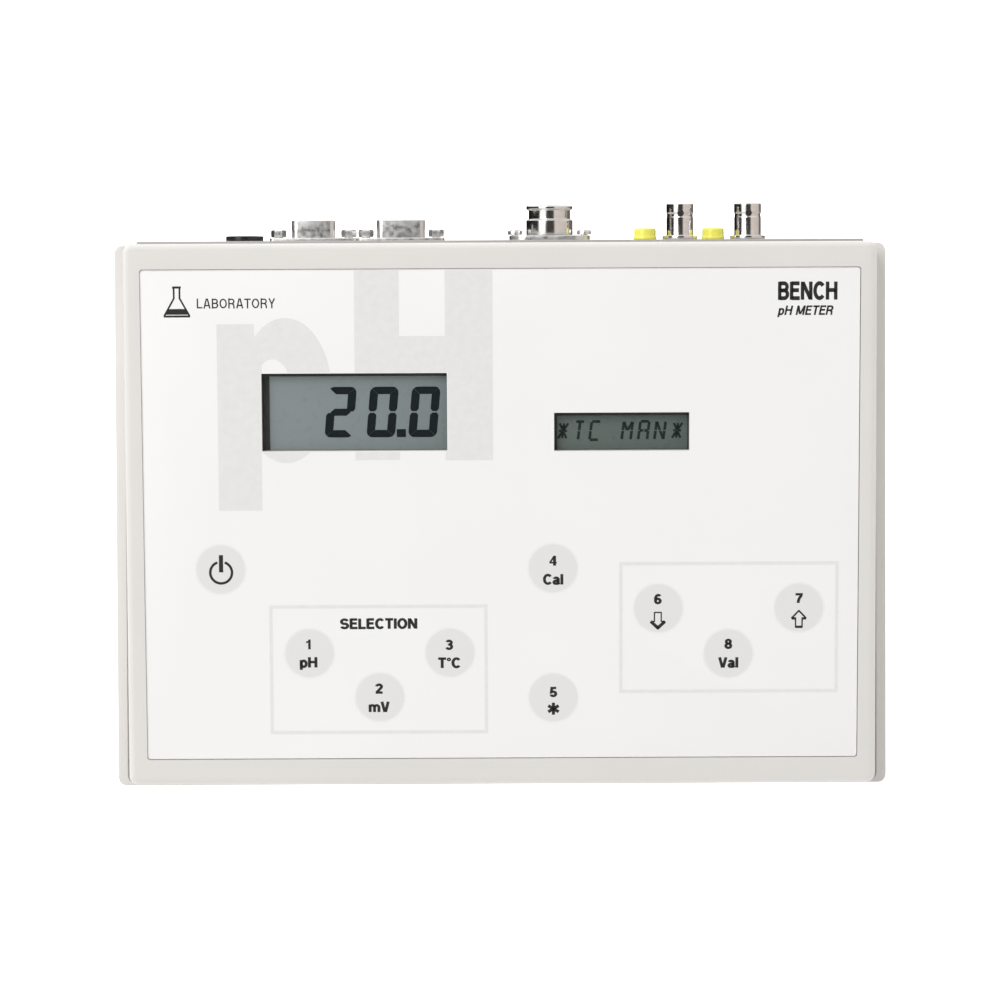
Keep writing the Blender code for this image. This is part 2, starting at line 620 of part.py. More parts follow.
def make_ribbon():
    """The flat cable between the two headers, as a thickened strip on a smooth S."""
    tall = HEADER_SIZE[2]
    slanted = Matrix.Translation((0, FACE_FRONT_Y, FACE_FRONT_HEIGHT)) @ Matrix.Rotation(SLOPE, 4, "X")
    header_end = BOARD_BOTTOM - tall - CLEARANCE
    start = slanted @ Vector((RIBBON_X, RIBBON_DISPLAY_Y, header_end))
    end = Vector((RIBBON_X, MAIN_BOARD_REAR_Y + RIBBON_MAIN_Y,
                  MAIN_BOARD_HEIGHT + BOARD_THICKNESS + tall + CLEARANCE))
    down_first = slanted.to_3x3() @ Vector((0, 0, -1))
    reach = (start - end).length / 2
    bends = [start, start + down_first * reach, end + Vector((0, 0, reach)), end]
    steps = 14
    strip = bmesh.new()
    half = Vector((RIBBON_WIDTH / 2, 0, 0))
    rows = []
    for step in range(steps + 1):
        t = step / steps
        weights = ((1 - t) ** 3, 3 * t * (1 - t) ** 2, 3 * t ** 2 * (1 - t), t ** 3)
        middle = sum((point * weight for point, weight in zip(bends, weights)), Vector())
        rows.append((strip.verts.new(middle - half), strip.verts.new(middle + half)))
    for upper, lower in zip(rows, rows[1:]):
        strip.faces.new((upper[0], upper[1], lower[1], lower[0]))
    cable = piece("ribbon_cable", strip, RIBBON)
    thickness = cable.modifiers.new("thickness", "SOLIDIFY")
    thickness.thickness = RIBBON_THICKNESS
    thickness.offset = 0


# ---------------------------------------------------------------- rear panel and sockets
def hexagon(name, across, hole, low, high, look, at):
    """A hexagonal nut with a plain hole."""
    bm = bmesh.new()
    add_rod(bm, across / math.cos(math.pi / 6), low, high, at, 6)
    nut = piece(name, bm, look, REAR)
    bore = bmesh.new()
    add_rod(bore, hole, low - WALL, high + WALL, at)
    cut(nut, name + "_bore", bore, REAR)


def d_outline(bm, width, height, low, high):
    """A D-shaped block: a box whose lower side is narrowed by sides that lean ten degrees."""
    narrowing = height * math.tan(math.radians(10))
    for vert in add_box(bm, (-width / 2, -height / 2, low), (width / 2, height / 2, high)):
        if vert.co.y > 0:
            vert.co.x -= math.copysign(narrowing, vert.co.x)
    round_edges(bm, height / 5, rises, 2)


def shifted(bm, x):
    """Move what a bmesh holds sideways."""
    bmesh.ops.translate(bm, verts=bm.verts, vec=(x, 0, 0))
    return bm


DC_THREAD = 0.011
D_FLANGE = (0.0308, 0.0125, 0.0010)
D_REAR = (0.0190, 0.0110, 0.0080)   # moulded body behind the flange
D_SHELL_REACH = 0.0073
D_SHELL_WALL = 0.0005
D_SHELLS = {"serial": (0.0163, 0.0079), "output": (0.0180, 0.0096)}
PIN_PITCH = (0.00277, 0.00284)
BANANA_HOLE = 0.0082
BNC_THREAD = 0.0095
PROBE_BARREL = 0.0148
PROBE_FLANGE = (0.0287, 0.0170, 0.0016)
SMALL_HOLE = 0.0036
JACKSCREW_FLATS = 0.0048
JACKSCREW_HEIGHT = 0.0026
JACKSCREW_THREAD = 0.0024


def make_dc_socket():
    """Low-voltage supply socket: black flanged barrel with a centre pin, and its nut inside."""
    thread = DC_THREAD / 2
    flange, rim, depth, bore, pin = 0.00665, 0.0018, 0.0095, 0.0032, 0.00105
    top = CLEARANCE + rim
    back = -0.013
    profile = [(0, top - 0.001), (pin, top - 0.001), (pin, top - depth), (bore, top - depth),
               (bore, top), (flange - 0.0005, top), (flange, top - 0.0005), (flange, CLEARANCE),
               (thread, CLEARANCE), (thread, back), (0, back)]
    turned("dc_socket", profile, BLACK_PLASTIC, REAR, (DC_X, 0, 0))
    hexagon("dc_socket_nut", 0.014, DC_THREAD + 2 * CLEARANCE, SEAT - 0.0025, SEAT,
            BLACK_PLASTIC, (DC_X, 0))


def make_d_socket(kind, x, pins):
    """A nine-way D connector: steel shell, moulded insert and two jackscrews."""
    width, height = D_SHELLS[kind]
    flange_w, flange_h, flange_t = D_FLANGE
    plate = bmesh.new()
    rounded_plate(plate, (-flange_w / 2, -flange_h / 2, CLEARANCE),
                  (flange_w / 2, flange_h / 2, CLEARANCE + flange_t), 0.0015)
    shell = piece(kind + "_shell", shifted(plate, x), SHEET_STEEL, REAR)
    collar = bmesh.new()
    d_outline(collar, width, height, CLEARANCE + flange_t / 2, CLEARANCE + D_SHELL_REACH)
    join(shell, kind + "_collar", shifted(collar, x), REAR)
    tunnel = bmesh.new()
    d_outline(tunnel, width - 2 * D_SHELL_WALL, height - 2 * D_SHELL_WALL, -WALL, 3 * WALL)
    cut(shell, kind + "_tunnel", shifted(tunnel, x), REAR)
    screws = bmesh.new()
    for side in (-1, 1):
        add_rod(screws, SMALL_HOLE, -WALL, WALL, (x + side * JACKSCREW_SPACING / 2, 0))
    cut(shell, kind + "_screw_holes", screws, REAR)

    slim = 2 * (D_SHELL_WALL + CLEARANCE)
    face = CLEARANCE + (flange_t if pins else D_SHELL_REACH - 0.0004)
    core = bmesh.new()
    d_outline(core, width - slim, height - slim, SEAT - EMBED, face)
    insert = piece(kind + "_insert", shifted(core, x), BLACK_PLASTIC, REAR)
    body = bmesh.new()
    rear_w, rear_h, rear_t = D_REAR
    add_box(body, (x - rear_w / 2, -rear_h / 2, SEAT - rear_t), (x + rear_w / 2, rear_h / 2, SEAT))
    join(insert, kind + "_body", body, REAR)
    if pins:
        rods = bmesh.new()
        for row, count in ((-0.5, 5), (0.5, 4)):
            for index in range(count):
                spot = (x + (index - (count - 1) / 2) * PIN_PITCH[0], row * PIN_PITCH[1])
                add_rod(rods, 0.001, SEAT, face + 0.0050, spot, 8)
        join(insert, kind + "_pins", rods, REAR)


def make_jackscrews():
    """The hexagonal jackscrews beside the two D connectors."""
    spots = [x + side * JACKSCREW_SPACING / 2 for x in (SERIAL_X, OUTPUT_X) for side in (-1, 1)]
    base = 2 * CLEARANCE + D_FLANGE[2]
    for number, x in enumerate(spots, 1):
        head = bmesh.new()
        add_rod(head, JACKSCREW_FLATS / math.cos(math.pi / 6), base, base + JACKSCREW_HEIGHT, (x, 0), 6)
        screw = piece(f"jackscrew_{number}", head, SCREW_STEEL, REAR)
        shank = bmesh.new()
        add_rod(shank, SMALL_HOLE - 2 * CLEARANCE, -0.008, base + EMBED, (x, 0), SMALL_SIDES)
        join(screw, f"jackscrew_{number}_shank", shank, REAR)
        socket = bmesh.new()
        add_rod(socket, JACKSCREW_THREAD, base + EMBED, base + WALL + JACKSCREW_HEIGHT, (x, 0), SMALL_SIDES)
        cut(screw, f"jackscrew_{number}_socket", socket, REAR)


def make_probe_socket():
    """Round metal socket for a combined probe: flanged shell, insert and two flange screws."""
    flange_w, flange_h, flange_t = PROBE_FLANGE
    plate = bmesh.new()
    rounded_plate(plate, (PROBE_X - flange_w / 2, -flange_h / 2, CLEARANCE),
                  (PROBE_X + flange_w / 2, flange_h / 2, CLEARANCE + flange_t), 0.006)
    socket = piece("probe_socket", plate, CHROME, REAR)
    base = CLEARANCE + flange_t / 2
    tier = 0.0165
    reach = 0.0125
    barrel = bmesh.new()
    add_rod(barrel, tier, base, 0.0072, (PROBE_X, 0), FINE_SIDES)
    join(socket, "probe_tier", barrel, REAR)
    neck = bmesh.new()
    add_rod(neck, PROBE_BARREL, SEAT - 0.006, reach - EMBED / 2, (PROBE_X, 0), FINE_SIDES)
    join(socket, "probe_neck", neck, REAR)
    rim = bmesh.new()
    add_rod(rim, tier, reach - 0.0013, reach, (PROBE_X, 0), FINE_SIDES)
    join(socket, "probe_rim", rim, REAR)
    bore = bmesh.new()
    add_rod(bore, PROBE_BARREL - 0.0020, SEAT - 0.010, reach + WALL, (PROBE_X, 0), FINE_SIDES)
    cut(socket, "probe_bore", bore, REAR)
    screws = bmesh.new()
    spots = [PROBE_X + side * PROBE_SCREW_SPACING / 2 for side in (-1, 1)]
    for x in spots:
        add_rod(screws, SMALL_SCREW["shank"] + 2 * CLEARANCE, -WALL, WALL, (x, 0), SMALL_SIDES)
    cut(socket, "probe_screw_holes", screws, REAR)
    for number, x in enumerate(spots, 1):
        make_screw(f"probe_socket_screw_{number}", SMALL_SCREW, REAR,
                   (x, 0, 2 * CLEARANCE + flange_t), False)
    insert = bmesh.new()
    add_rod(insert, PROBE_BARREL - 0.0020 - 2 * CLEARANCE, SEAT - 0.0075, 0.0055, (PROBE_X, 0), FINE_SIDES)
    piece("probe_socket_insert", insert, BLACK_PLASTIC, REAR)


def make_banana_socket(name, x):
    """A 4 mm laboratory socket in yellow plastic."""
    collar, thread, bore = 0.00385, BANANA_HOLE / 2 - CLEARANCE, 0.00205
    collar = max(collar, thread + CLEARANCE)
    top = 0.0043
    back = -0.012
    shell = [(0, back + 0.002), (bore, back + 0.002), (bore, top), (collar - 0.0006, top),
             (collar, top - 0.0006), (collar, CLEARANCE), (thread, CLEARANCE), (thread, back), (0, back)]
    turned(name, shell, YELLOW_PLASTIC, REAR, (x, 0, 0))


def make_bnc(name, x):
    """A coaxial socket: bayonet barrel with two lugs, inner contact and nut."""
    radius, thread, bore = BNC_RADIUS, BNC_THREAD / 2, 0.0041
    nut_r = 0.0062
    back = -0.011
    profile = [(bore, BNC_REACH), (radius - 0.0003, BNC_REACH), (radius, BNC_REACH - 0.0003),
               (radius, 0.0020), (nut_r, 0.0015), (nut_r, CLEARANCE), (thread, CLEARANCE),
               (thread, back), (bore, back)]
    body = turned(name, profile, CHROME, REAR, (x, 0, 0), FINE_SIDES)
    lugs = bmesh.new()
    for side in (-1, 1):
        post = Matrix.Translation((x, side * (radius + 0.0001), BNC_REACH - 0.0035))
        bmesh.ops.create_cone(lugs, cap_ends=True, segments=SMALL_SIDES, radius1=0.001, radius2=0.001,
                              depth=0.0014, matrix=post @ Matrix.Rotation(math.pi / 2, 4, "X"))
    join(body, name + "_lugs", lugs, REAR)
    hexagon(name + "_nut", 0.0125, BNC_THREAD + 2 * CLEARANCE, SEAT - 0.0022, SEAT, SCREW_STEEL, (x, 0))
    core = bore - CLEARANCE
    sleeve, pin, mouth = 0.0024, 0.0007, BNC_REACH - 0.0035
    inner = [(0, mouth - 0.005), (pin, mouth - 0.005), (pin, mouth), (sleeve, mouth), (sleeve, 0.004),
             (core, 0.004), (core, back), (pin, back), (pin, back - 0.004), (0, back - 0.004)]
    turned(name + "_contact", inner, WHITE_PLASTIC, REAR, (x, 0, 0))


def make_rear_panel():
    """The rear plate, drilled for every socket."""
    half = REAR_PLATE_WIDTH / 2
    sheet = bmesh.new()
    rounded_plate(sheet, (-half, -REAR_PLATE_ABOVE, PLATE_INNER), (half, REAR_PLATE_BELOW, 0), 0.001)
    plate = piece("rear_panel", sheet, REAR_PLATE, REAR)
    holes = bmesh.new()
    rounds = [(DC_X, DC_THREAD), (PROBE_X, PROBE_BARREL)]
    rounds += [(x, BANANA_HOLE - 2 * CLEARANCE) for x in BANANA_X.values()]
    rounds += [(x, BNC_THREAD) for x in BNC_X.values()]
    for x, diameter in rounds:
        add_rod(holes, diameter + 2 * CLEARANCE, -2 * WALL, WALL, (x, 0), FINE_SIDES)
    for x in (SERIAL_X, OUTPUT_X):
        wide, high = D_SHELLS["output"]
        add_box(holes, (x - wide / 2, -high / 2, -2 * WALL), (x + wide / 2, high / 2, WALL))
        for side in (-1, 1):
            add_rod(holes, SMALL_HOLE, -2 * WALL, WALL, (x + side * JACKSCREW_SPACING / 2, 0))
    for side in (-1, 1):
        add_rod(holes, SMALL_SCREW["shank"] + 2 * CLEARANCE, -2 * WALL, WALL,
                (PROBE_X + side * PROBE_SCREW_SPACING / 2, 0), SMALL_SIDES)
    cut(plate, "rear_panel_holes", holes, REAR)


make_cover()
make_tray()
make_feet()
for count, (screw_x, screw_y) in enumerate(CASE_SCREWS, 1):
    make_screw(f"case_screw_{count}", CASE_SCREW, None,
               (screw_x, screw_y, COUNTERBORE_TOP - CLEARANCE), True)
make_overlay()
make_keys()
make_displays()
make_display_board()
make_main_board()
make_ribbon()
make_rear_panel()
make_dc_socket()
make_d_socket("serial", SERIAL_X, False)
make_d_socket("output", OUTPUT_X, True)
make_jackscrews()
make_probe_socket()
for socket_name, socket_x in BANANA_X.items():
    make_banana_socket(socket_name, socket_x)
for socket_name, socket_x in BNC_X.items():
    make_bnc(socket_name, socket_x)
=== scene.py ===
"""Looks for the benchtop pH meter: fine meshes, printed legends, displays and materials.

Everything is in metres in the row frame: +X right, +Y to the rear sockets, +Z up.
Panel coordinates: x across, y up the slope from the cover's front top edge, z out of the face.
Rear coordinates: x across, y down the rear panel from the socket row, z out of the panel.
"""

import json
import math

import bmesh
import bpy
import numpy as np
from mathutils import Matrix, Vector


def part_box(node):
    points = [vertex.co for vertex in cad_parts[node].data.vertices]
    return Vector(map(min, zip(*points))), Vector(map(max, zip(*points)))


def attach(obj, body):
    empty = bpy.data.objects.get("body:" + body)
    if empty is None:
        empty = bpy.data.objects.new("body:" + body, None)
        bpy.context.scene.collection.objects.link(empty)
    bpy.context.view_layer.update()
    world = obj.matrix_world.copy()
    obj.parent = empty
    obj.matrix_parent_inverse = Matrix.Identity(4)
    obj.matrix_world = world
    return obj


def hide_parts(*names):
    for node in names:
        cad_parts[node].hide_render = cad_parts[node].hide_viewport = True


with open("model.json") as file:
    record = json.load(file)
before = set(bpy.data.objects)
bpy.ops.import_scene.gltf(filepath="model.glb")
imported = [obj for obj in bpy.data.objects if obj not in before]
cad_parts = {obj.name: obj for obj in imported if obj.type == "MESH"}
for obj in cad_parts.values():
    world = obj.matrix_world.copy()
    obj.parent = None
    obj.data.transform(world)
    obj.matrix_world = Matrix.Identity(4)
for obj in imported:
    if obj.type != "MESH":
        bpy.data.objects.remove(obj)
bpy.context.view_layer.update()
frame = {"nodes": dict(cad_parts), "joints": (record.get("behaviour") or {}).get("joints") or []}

# ---------------------------------------------------------------- sizes that the CAD model was made with
MM = 0.001
CLEARANCE = 0.3 * MM
BEZEL = 9.0 * MM             # cover face in front of and behind the recess
SIDE_STEP = 5.9 * MM         # front edge of the sloping top inside the tray's widest part
TRAY_TAPER = 0.7 * MM        # tray narrower at its front, on each side
FACE_TAPER = 0.9 * MM        # sloping top narrower at its rear, on each side
SINK = 0.6 * MM              # overlay surface below the cover face
DRAFT = math.radians(3.5)
WALL = 3.0 * MM
TOP_WALL = 4.0 * MM
FLOOR = 3.0 * MM
RIM_WIDTH = 6.5 * MM
CORNER_RADIUS = 3.0 * MM
TOP_EDGE_RADIUS = 2.2 * MM
BASE_EDGE_RADIUS = 1.5 * MM
RECESS_CORNER = 1.0 * MM
SCREW_WELL = 4.3 * MM        # radius
SCREW_TOWER = 6.5 * MM       # radius
JACKSCREW_REACH = 12.495 * MM
UPRIGHT = Matrix.Identity(4)
SOCKET_HOLES = {"dc_socket": 5.8, "probe_socket": 7.7, "reference_socket": 4.1, "earth_socket": 4.1,
                "ph_bnc": 5.05, "aux_bnc": 5.05}
PLATE_LAP = 4.5 * MM
KEYS = sorted(name for name in frame["nodes"] if name.startswith("key_"))

# ---------------------------------------------------------------- print layout, panel coordinates
INK_RAISE = 0.012 * MM       # print above the film
INK_THICKNESS = 0.02 * MM
FRAMES = {"selection_frame": (-81.8, -4.9, 17.9, 64.0), "value_frame": (41.4, 118.6, 32.1, 78.8)}
FRAME_LINE = 1.2 * MM
FILM_GAP = 0.13 * MM
LEFT_FILM_GAP = 0.10 * MM
FACE_SIDE = 6.5 * MM         # cover face beside the recess
RECESS_EASE = 0.14 * MM      # recess larger than the film's outline
GROOVE_WIDTH = 1.1 * MM      # shadow line in the tray's ledge beside the cover
GROOVE_DEPTH = 0.8 * MM
SEGMENT_SLANT = math.tan(math.radians(5.0))


def rotated_box(node, rotation):
    """Low and high corner of a CAD node in a frame turned by rotation."""
    points = np.array([vert.co for vert in frame["nodes"][node].data.vertices], float)
    turned = points @ np.array(rotation.to_3x3())
    return Vector(turned.min(0)), Vector(turned.max(0))


press_axis = next(joint["axis"] for joint in frame["joints"] if joint["name"] == "key_1_press")
SLOPE = math.asin(press_axis[1])
panel_turn = Matrix.Rotation(SLOPE, 4, "X")
overlay_low, overlay_high = rotated_box("front_overlay", panel_turn)
PANEL = panel_turn @ Matrix.Translation((0, overlay_low.y - BEZEL - CLEARANCE, overlay_high.z + SINK))
rear_turn = Matrix.Rotation(DRAFT - math.pi / 2, 4, "X")
plate_high = rotated_box("rear_panel", rear_turn)[1]
bnc_low, bnc_high = rotated_box("ph_bnc_nut", rear_turn)
REAR = rear_turn @ Matrix.Translation((0, (bnc_low.y + bnc_high.y) / 2, plate_high.z))


def local_box(node, place):
    """Low and high corner of a CAD node in panel or rear coordinates."""
    points = np.array([place.inverted() @ vert.co for vert in frame["nodes"][node].data.vertices])
    return Vector(points.min(0)), Vector(points.max(0))


def middle_of(node, place):
    """Middle of a CAD node in panel or rear coordinates."""
    low, high = local_box(node, place)
    return (low + high) / 2


KEY_SPOTS = {key: middle_of(key, PANEL) for key in KEYS}
KEY_RADIUS = (local_box("key_1", PANEL)[1].x - local_box("key_1", PANEL)[0].x) / 2
# How far each pane reaches under the film: left, right, front, rear.
PANE_LAPS = {"main": (1.45 * MM, 2.0 * MM, 1.65 * MM, 1.65 * MM),
             "aux": (1.9 * MM, 2.0 * MM, 2.0 * MM, 2.0 * MM)}


def windows():
    """The two display windows as (x from, x to, y from, y to) in panel coordinates."""
    found = {}
    for name, (left, right, front, rear) in PANE_LAPS.items():
        low, high = local_box(name + "_window", PANEL)
        found[name] = (low.x + left, high.x - right, low.y + front, high.y - rear)
    return found


WINDOWS = windows()
tray_low, tray_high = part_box("base_tray")
PARTING = tray_high.z
TRAY_FRONT = tray_low.y
CASE_WIDTH = tray_high.x - tray_low.x
FACE_WIDTH = CASE_WIDTH - 2 * SIDE_STEP
FACE_FRONT = PANEL.translation
FACE_LENGTH = overlay_high.y - overlay_low.y + 2 * (BEZEL + CLEARANCE)
FACE_REAR = PANEL @ Vector((0, FACE_LENGTH, 0))
TAN_SLOPE = math.tan(SLOPE)
TAN_DRAFT = math.tan(DRAFT)


def face_height(y):
    """Height of the cover's sloping face at world y."""
    return FACE_FRONT.z + (y - FACE_FRONT.y) * TAN_SLOPE


def rear_wall(z):
    """World y of the case's rear wall at height z."""
    return FACE_REAR.y + (FACE_REAR.z - z) * TAN_DRAFT


# ---------------------------------------------------------------- materials
def add_node(tree, kind, inputs=(), **settings):
    """A shader node; inputs gives each socket a value or another node's output."""
    made = tree.nodes.new("ShaderNode" + kind)
    for name, value in settings.items():
        setattr(made, name, value)
    for socket, value in dict(inputs).items():
        if isinstance(value, bpy.types.NodeSocket):
            tree.links.new(value, made.inputs[socket])
        else:
            made.inputs[socket].default_value = value
    return made


class Look:
    """A Principled material with helpers for procedural detail in object coordinates."""

    def __init__(self, name, colour, roughness, metallic=0.0, **sockets):
        self.material = bpy.data.materials.new(name)
        self.material.use_nodes = True
        self.tree = self.material.node_tree
        self.shader = self.tree.nodes["Principled BSDF"]
        self.colour = colour
        sockets.update(Base_Color=(*colour, 1.0), Roughness=roughness, Metallic=metallic)
        for socket, value in sockets.items():
            self.shader.inputs[socket.replace("_", " ")].default_value = value
        self.coordinates = self.add("TexCoord").outputs["Object"]

    def add(self, kind, inputs=(), **settings):
        """A node in this material."""
        return add_node(self.tree, kind, inputs, **settings)

    def drive(self, socket, output):
        """Feed a shader socket."""
        self.tree.links.new(output, self.shader.inputs[socket])
        return self

    def noise(self, size, detail=2.0, stretch=(1, 1, 1)):
        """Noise whose features are about size metres across."""
        place = self.add("Mapping", {"Vector": self.coordinates, "Scale": stretch}).outputs["Vector"]
        return self.add("TexNoise", {"Vector": place, "Scale": 1 / size, "Detail": detail}).outputs["Fac"]

    def ramp(self, value, low, high, low_at=0.3, high_at=0.7):
        """A value spread between two colours."""
        made = self.add("ValToRGB", {"Fac": value})
        for stop, colour, position in zip(made.color_ramp.elements, (low, high), (low_at, high_at)):
            stop.position, stop.color = position, (*colour, 1)
        return made.outputs["Color"]

    def mottle(self, size, amount, detail=3.0, stretch=(1, 1, 1)):
        """Vary the base colour around its own value."""
        low, high = ([min(1.0, part * scale) for part in self.colour] for scale in (1 - amount, 1 + amount))
        return self.drive("Base Color", self.ramp(self.noise(size, detail, stretch), low, high))

    def gloss(self, size, low, high, detail=2.0, stretch=(1, 1, 1)):
        """Vary the roughness between two values."""
        return self.drive("Roughness", self.ramp(self.noise(size, detail, stretch), (low,) * 3, (high,) * 3))

    def grain(self, size, depth, detail=2.0, stretch=(1, 1, 1)):
        """A bump of about depth metres."""
        height = self.noise(size, detail, stretch)
        bump = self.add("Bump", {"Strength": 1.0, "Distance": depth, "Height": height})
        return self.drive("Normal", bump.outputs["Normal"])


def moulded(name, colour, roughness=0.5):
    """Spark-textured moulded plastic."""
    look = Look(name, colour, roughness)
    look.mottle(30 * MM, 0.012).gloss(1.2 * MM, roughness - 0.07, roughness + 0.07)
    return look.grain(0.45 * MM, 0.016 * MM, 3.0)


def film(name, colour, roughness=0.38):
    """Printed polyester film with a very fine satin texture."""
    look = Look(name, colour, roughness)
    look.mottle(45 * MM, 0.008).gloss(0.6 * MM, roughness - 0.05, roughness + 0.05)
    return look.grain(0.25 * MM, 0.004 * MM)


def key_film(name, colour, rim):
    """Key print that fades out into the film round its rim."""
    look = film(name, colour)
    inverse = 1 / KEY_RADIUS
    flat = look.add("VectorMath", {0: look.coordinates, 1: (inverse, inverse, 0)}, operation="MULTIPLY")
    length = look.add("VectorMath", {0: flat.outputs["Vector"]}, operation="LENGTH")
    return look.drive("Base Color", look.ramp(length.outputs["Value"], colour, rim, 0.92, 1.0))


def ink(name, colour, roughness=0.42, uneven=0.02):
    """Screen print with slightly uneven cover."""
    look = Look(name, colour, roughness)
    look.mottle(2.5 * MM, uneven).gloss(0.5 * MM, roughness - 0.06, roughness + 0.06)
    return look.grain(0.2 * MM, 0.002 * MM)


def plated(name, colour, roughness, lines=(1, 1, 1), spread=0.45, blotch=0.7 * MM):
    """Plated metal with faint machining marks; spread is how much its roughness varies between blotches."""
    look = Look(name, colour, roughness, 1.0)
    look.mottle(2.0 * MM, 0.04).gloss(blotch, roughness * (1 - spread), roughness * (1 + spread), 3.0, lines)
    return look.grain(0.12 * MM, 0.0024 * MM * spread, 2.0, lines)


def display(name, left, right, window):
    """Display glass with painted shade, lighter at its left and darker towards its right, and a faint
    cloudiness.
    """
    look = Look(name, left, 0.3, Specular_IOR_Level=0.3)
    x = look.add("SeparateXYZ", {"Vector": look.coordinates}).outputs["X"]
    across = look.add("MapRange", {"Value": x, "From Min": window[0], "From Max": window[1]})
    cloudy = look.add("Mix", {"Factor": 0.12, "A": across.outputs["Result"], "B": look.noise(12 * MM)})
    # The left-to-right darkening of the glass is painted shade.
    look.drive("Base Color", look.ramp(cloudy.outputs["Result"], left, right, 0.15, 1.0))
    return look.gloss(3 * MM, 0.25, 0.36)


def glossy(name, colour, roughness=0.22):
    """Gloss moulded plastic."""
    look = Look(name, colour, roughness, Coat_Weight=0.2, Coat_Roughness=0.12)
    look.mottle(6 * MM, 0.05).gloss(1.5 * MM, roughness * 0.8, roughness * 1.3)
    return look.grain(0.6 * MM, 0.003 * MM)


LOOKS = {
    "housing": moulded("housing_plastic", (0.792, 0.777, 0.748), 0.50),
    "tray": moulded("tray_plastic", (0.735, 0.712, 0.690), 0.52),
    "overlay": film("overlay_film", (0.965, 0.964, 0.960)),
    "key": key_film("key_film", (0.835, 0.832, 0.824), (0.965, 0.964, 0.960)),
    "watermark": ink("watermark_ink", (0.840, 0.836, 0.830)),
    "frame_line": ink("frame_ink", (0.845, 0.847, 0.838)),
    "ink": ink("legend_ink", (0.018, 0.018, 0.019)),
    "rear_plate": moulded("rear_plate_paint", (0.45, 0.44, 0.43), 0.42),
    "black_plastic": glossy("black_plastic", (0.012, 0.012, 0.013)),
    "yellow_plastic": glossy("yellow_plastic", (1.0, 0.92, 0.14), 0.25),
    "white_plastic": glossy("white_insulator", (0.84, 0.83, 0.80), 0.35),
    "chrome": plated("nickel_plate", (0.80, 0.79, 0.77), 0.16, (1, 6, 1)),
    "sheet_steel": plated("tinned_steel", (0.76, 0.76, 0.75), 0.35, (1, 1, 2), 0.25, 1.6 * MM),
    "screw_steel": plated("zinc_plate", (0.76, 0.76, 0.75), 0.34, (3, 1, 1), 0.2, 1.5 * MM),
    "brass": plated("gold_contact", (0.86, 0.66, 0.30), 0.22),
    "board": Look("solder_mask", (0.02, 0.16, 0.07), 0.35).mottle(1.6 * MM, 0.35).grain(0.8 * MM, 0.02 * MM),
    "ribbon": Look("ribbon_grey", (0.34, 0.34, 0.36), 0.5).mottle(1.27 * MM, 0.3, 1.0, (1, 0.02, 0.02)),
    "rubber": Look("foot_rubber", (0.028, 0.028, 0.028), 0.75).mottle(1.0 * MM, 0.25)
        .grain(0.3 * MM, 0.02 * MM),
    # Near-black display mask; where it shows as wide left and rear bands it is painted shade from the window
    # edges.
    "mask": Look("display_mask_and_painted_shade", (0.034, 0.035, 0.034), 0.55).mottle(1.0 * MM, 0.2)
        .grain(0.4 * MM, 0.004 * MM),
    # Display glass colours go from a lighter left to a darker right: painted shade.
    "lcd": display("display_glass", (0.320, 0.370, 0.374), (0.268, 0.313, 0.316), WINDOWS["main"]),
    "aux_lcd": display("aux_display_glass", (0.168, 0.201, 0.187), (0.146, 0.188, 0.173), WINDOWS["aux"]),
    "segment": Look("display_segment", (0.008, 0.014, 0.017), 0.45, Specular_IOR_Level=0.15)
        .mottle(1.5 * MM, 0.15),
    "aux_segment": Look("aux_display_segment", (0.020, 0.031, 0.030), 0.45, Specular_IOR_Level=0.15)
        .mottle(1.0 * MM, 0.15),
    "pane": Look("window_pane", (0.03, 0.035, 0.035), 0.05, Alpha=0.06).gloss(20 * MM, 0.04, 0.07),
}


# ---------------------------------------------------------------- mesh helpers
def add_box(bm, low, high):
    """A box from its low corner to its high corner."""
    low, high = Vector(low), Vector(high)
    place = Matrix.Translation((low + high) / 2) @ Matrix.Diagonal((*(high - low), 1))
    return bmesh.ops.create_cube(bm, size=1, matrix=place)["verts"]


def add_rod(bm, radius, low, high, at=(0, 0), segments=48):
    """A round rod along z."""
    place = Matrix.Translation((at[0], at[1], (low + high) / 2))
    bmesh.ops.create_cone(bm, cap_ends=True, segments=segments, radius1=radius, radius2=radius,
                          depth=high - low, matrix=place)


def boxes(*pairs):
    """A new bmesh of boxes, each from its low corner to its high corner."""
    bm = bmesh.new()
    for low, high in pairs:
        add_box(bm, low, high)
    return bm


def rods(radius, low, high, spots=((0, 0),), segments=48):
    """A new bmesh of equal rods along z."""
    bm = bmesh.new()
    for spot in spots:
        add_rod(bm, radius, low, high, spot, segments)
    return bm


def bevel(bm, radius, picks, segments=5):
    """Round the edges that picks(edge) chooses."""
    edges = [edge for edge in bm.edges if picks(edge)]
    bmesh.ops.bevel(bm, geom=edges, offset=radius, segments=segments, profile=0.5, affect="EDGES",
                    clamp_overlap=True)


def rises(edge):
    """True for an edge that runs mainly along z."""
    along = edge.verts[0].co - edge.verts[1].co
    return abs(along.z) > 0.9 * along.length


def level(height, reach=0.02 * MM):
    """A test for edges that lie at one height."""
    return lambda edge: all(abs(vert.co.z - height) < reach for vert in edge.verts)


def plate(bm, low, high, corner, edge=0.0, segments=5):
    """A box with rounded corners in plan and, if asked, a rounded upper rim."""
    add_box(bm, low, high)
    if corner:
        bevel(bm, corner, rises, segments)
    if edge:
        bevel(bm, edge, level(high[2]), 3)


def to_object(bm, name="work"):
    """A bmesh as a linked object."""
    bmesh.ops.recalc_face_normals(bm, faces=bm.faces)
    mesh = bpy.data.meshes.new(name)
    bm.to_mesh(mesh)
    bm.free()
    made = bpy.data.objects.new(name, mesh)
    bpy.context.scene.collection.objects.link(made)
    return made


def applied(target):
    """Bake a working object's modifiers into its mesh."""
    graph = bpy.context.evaluated_depsgraph_get()
    mesh = bpy.data.meshes.new_from_object(target.evaluated_get(graph))
    target.modifiers.clear()
    target.data = mesh
    return target


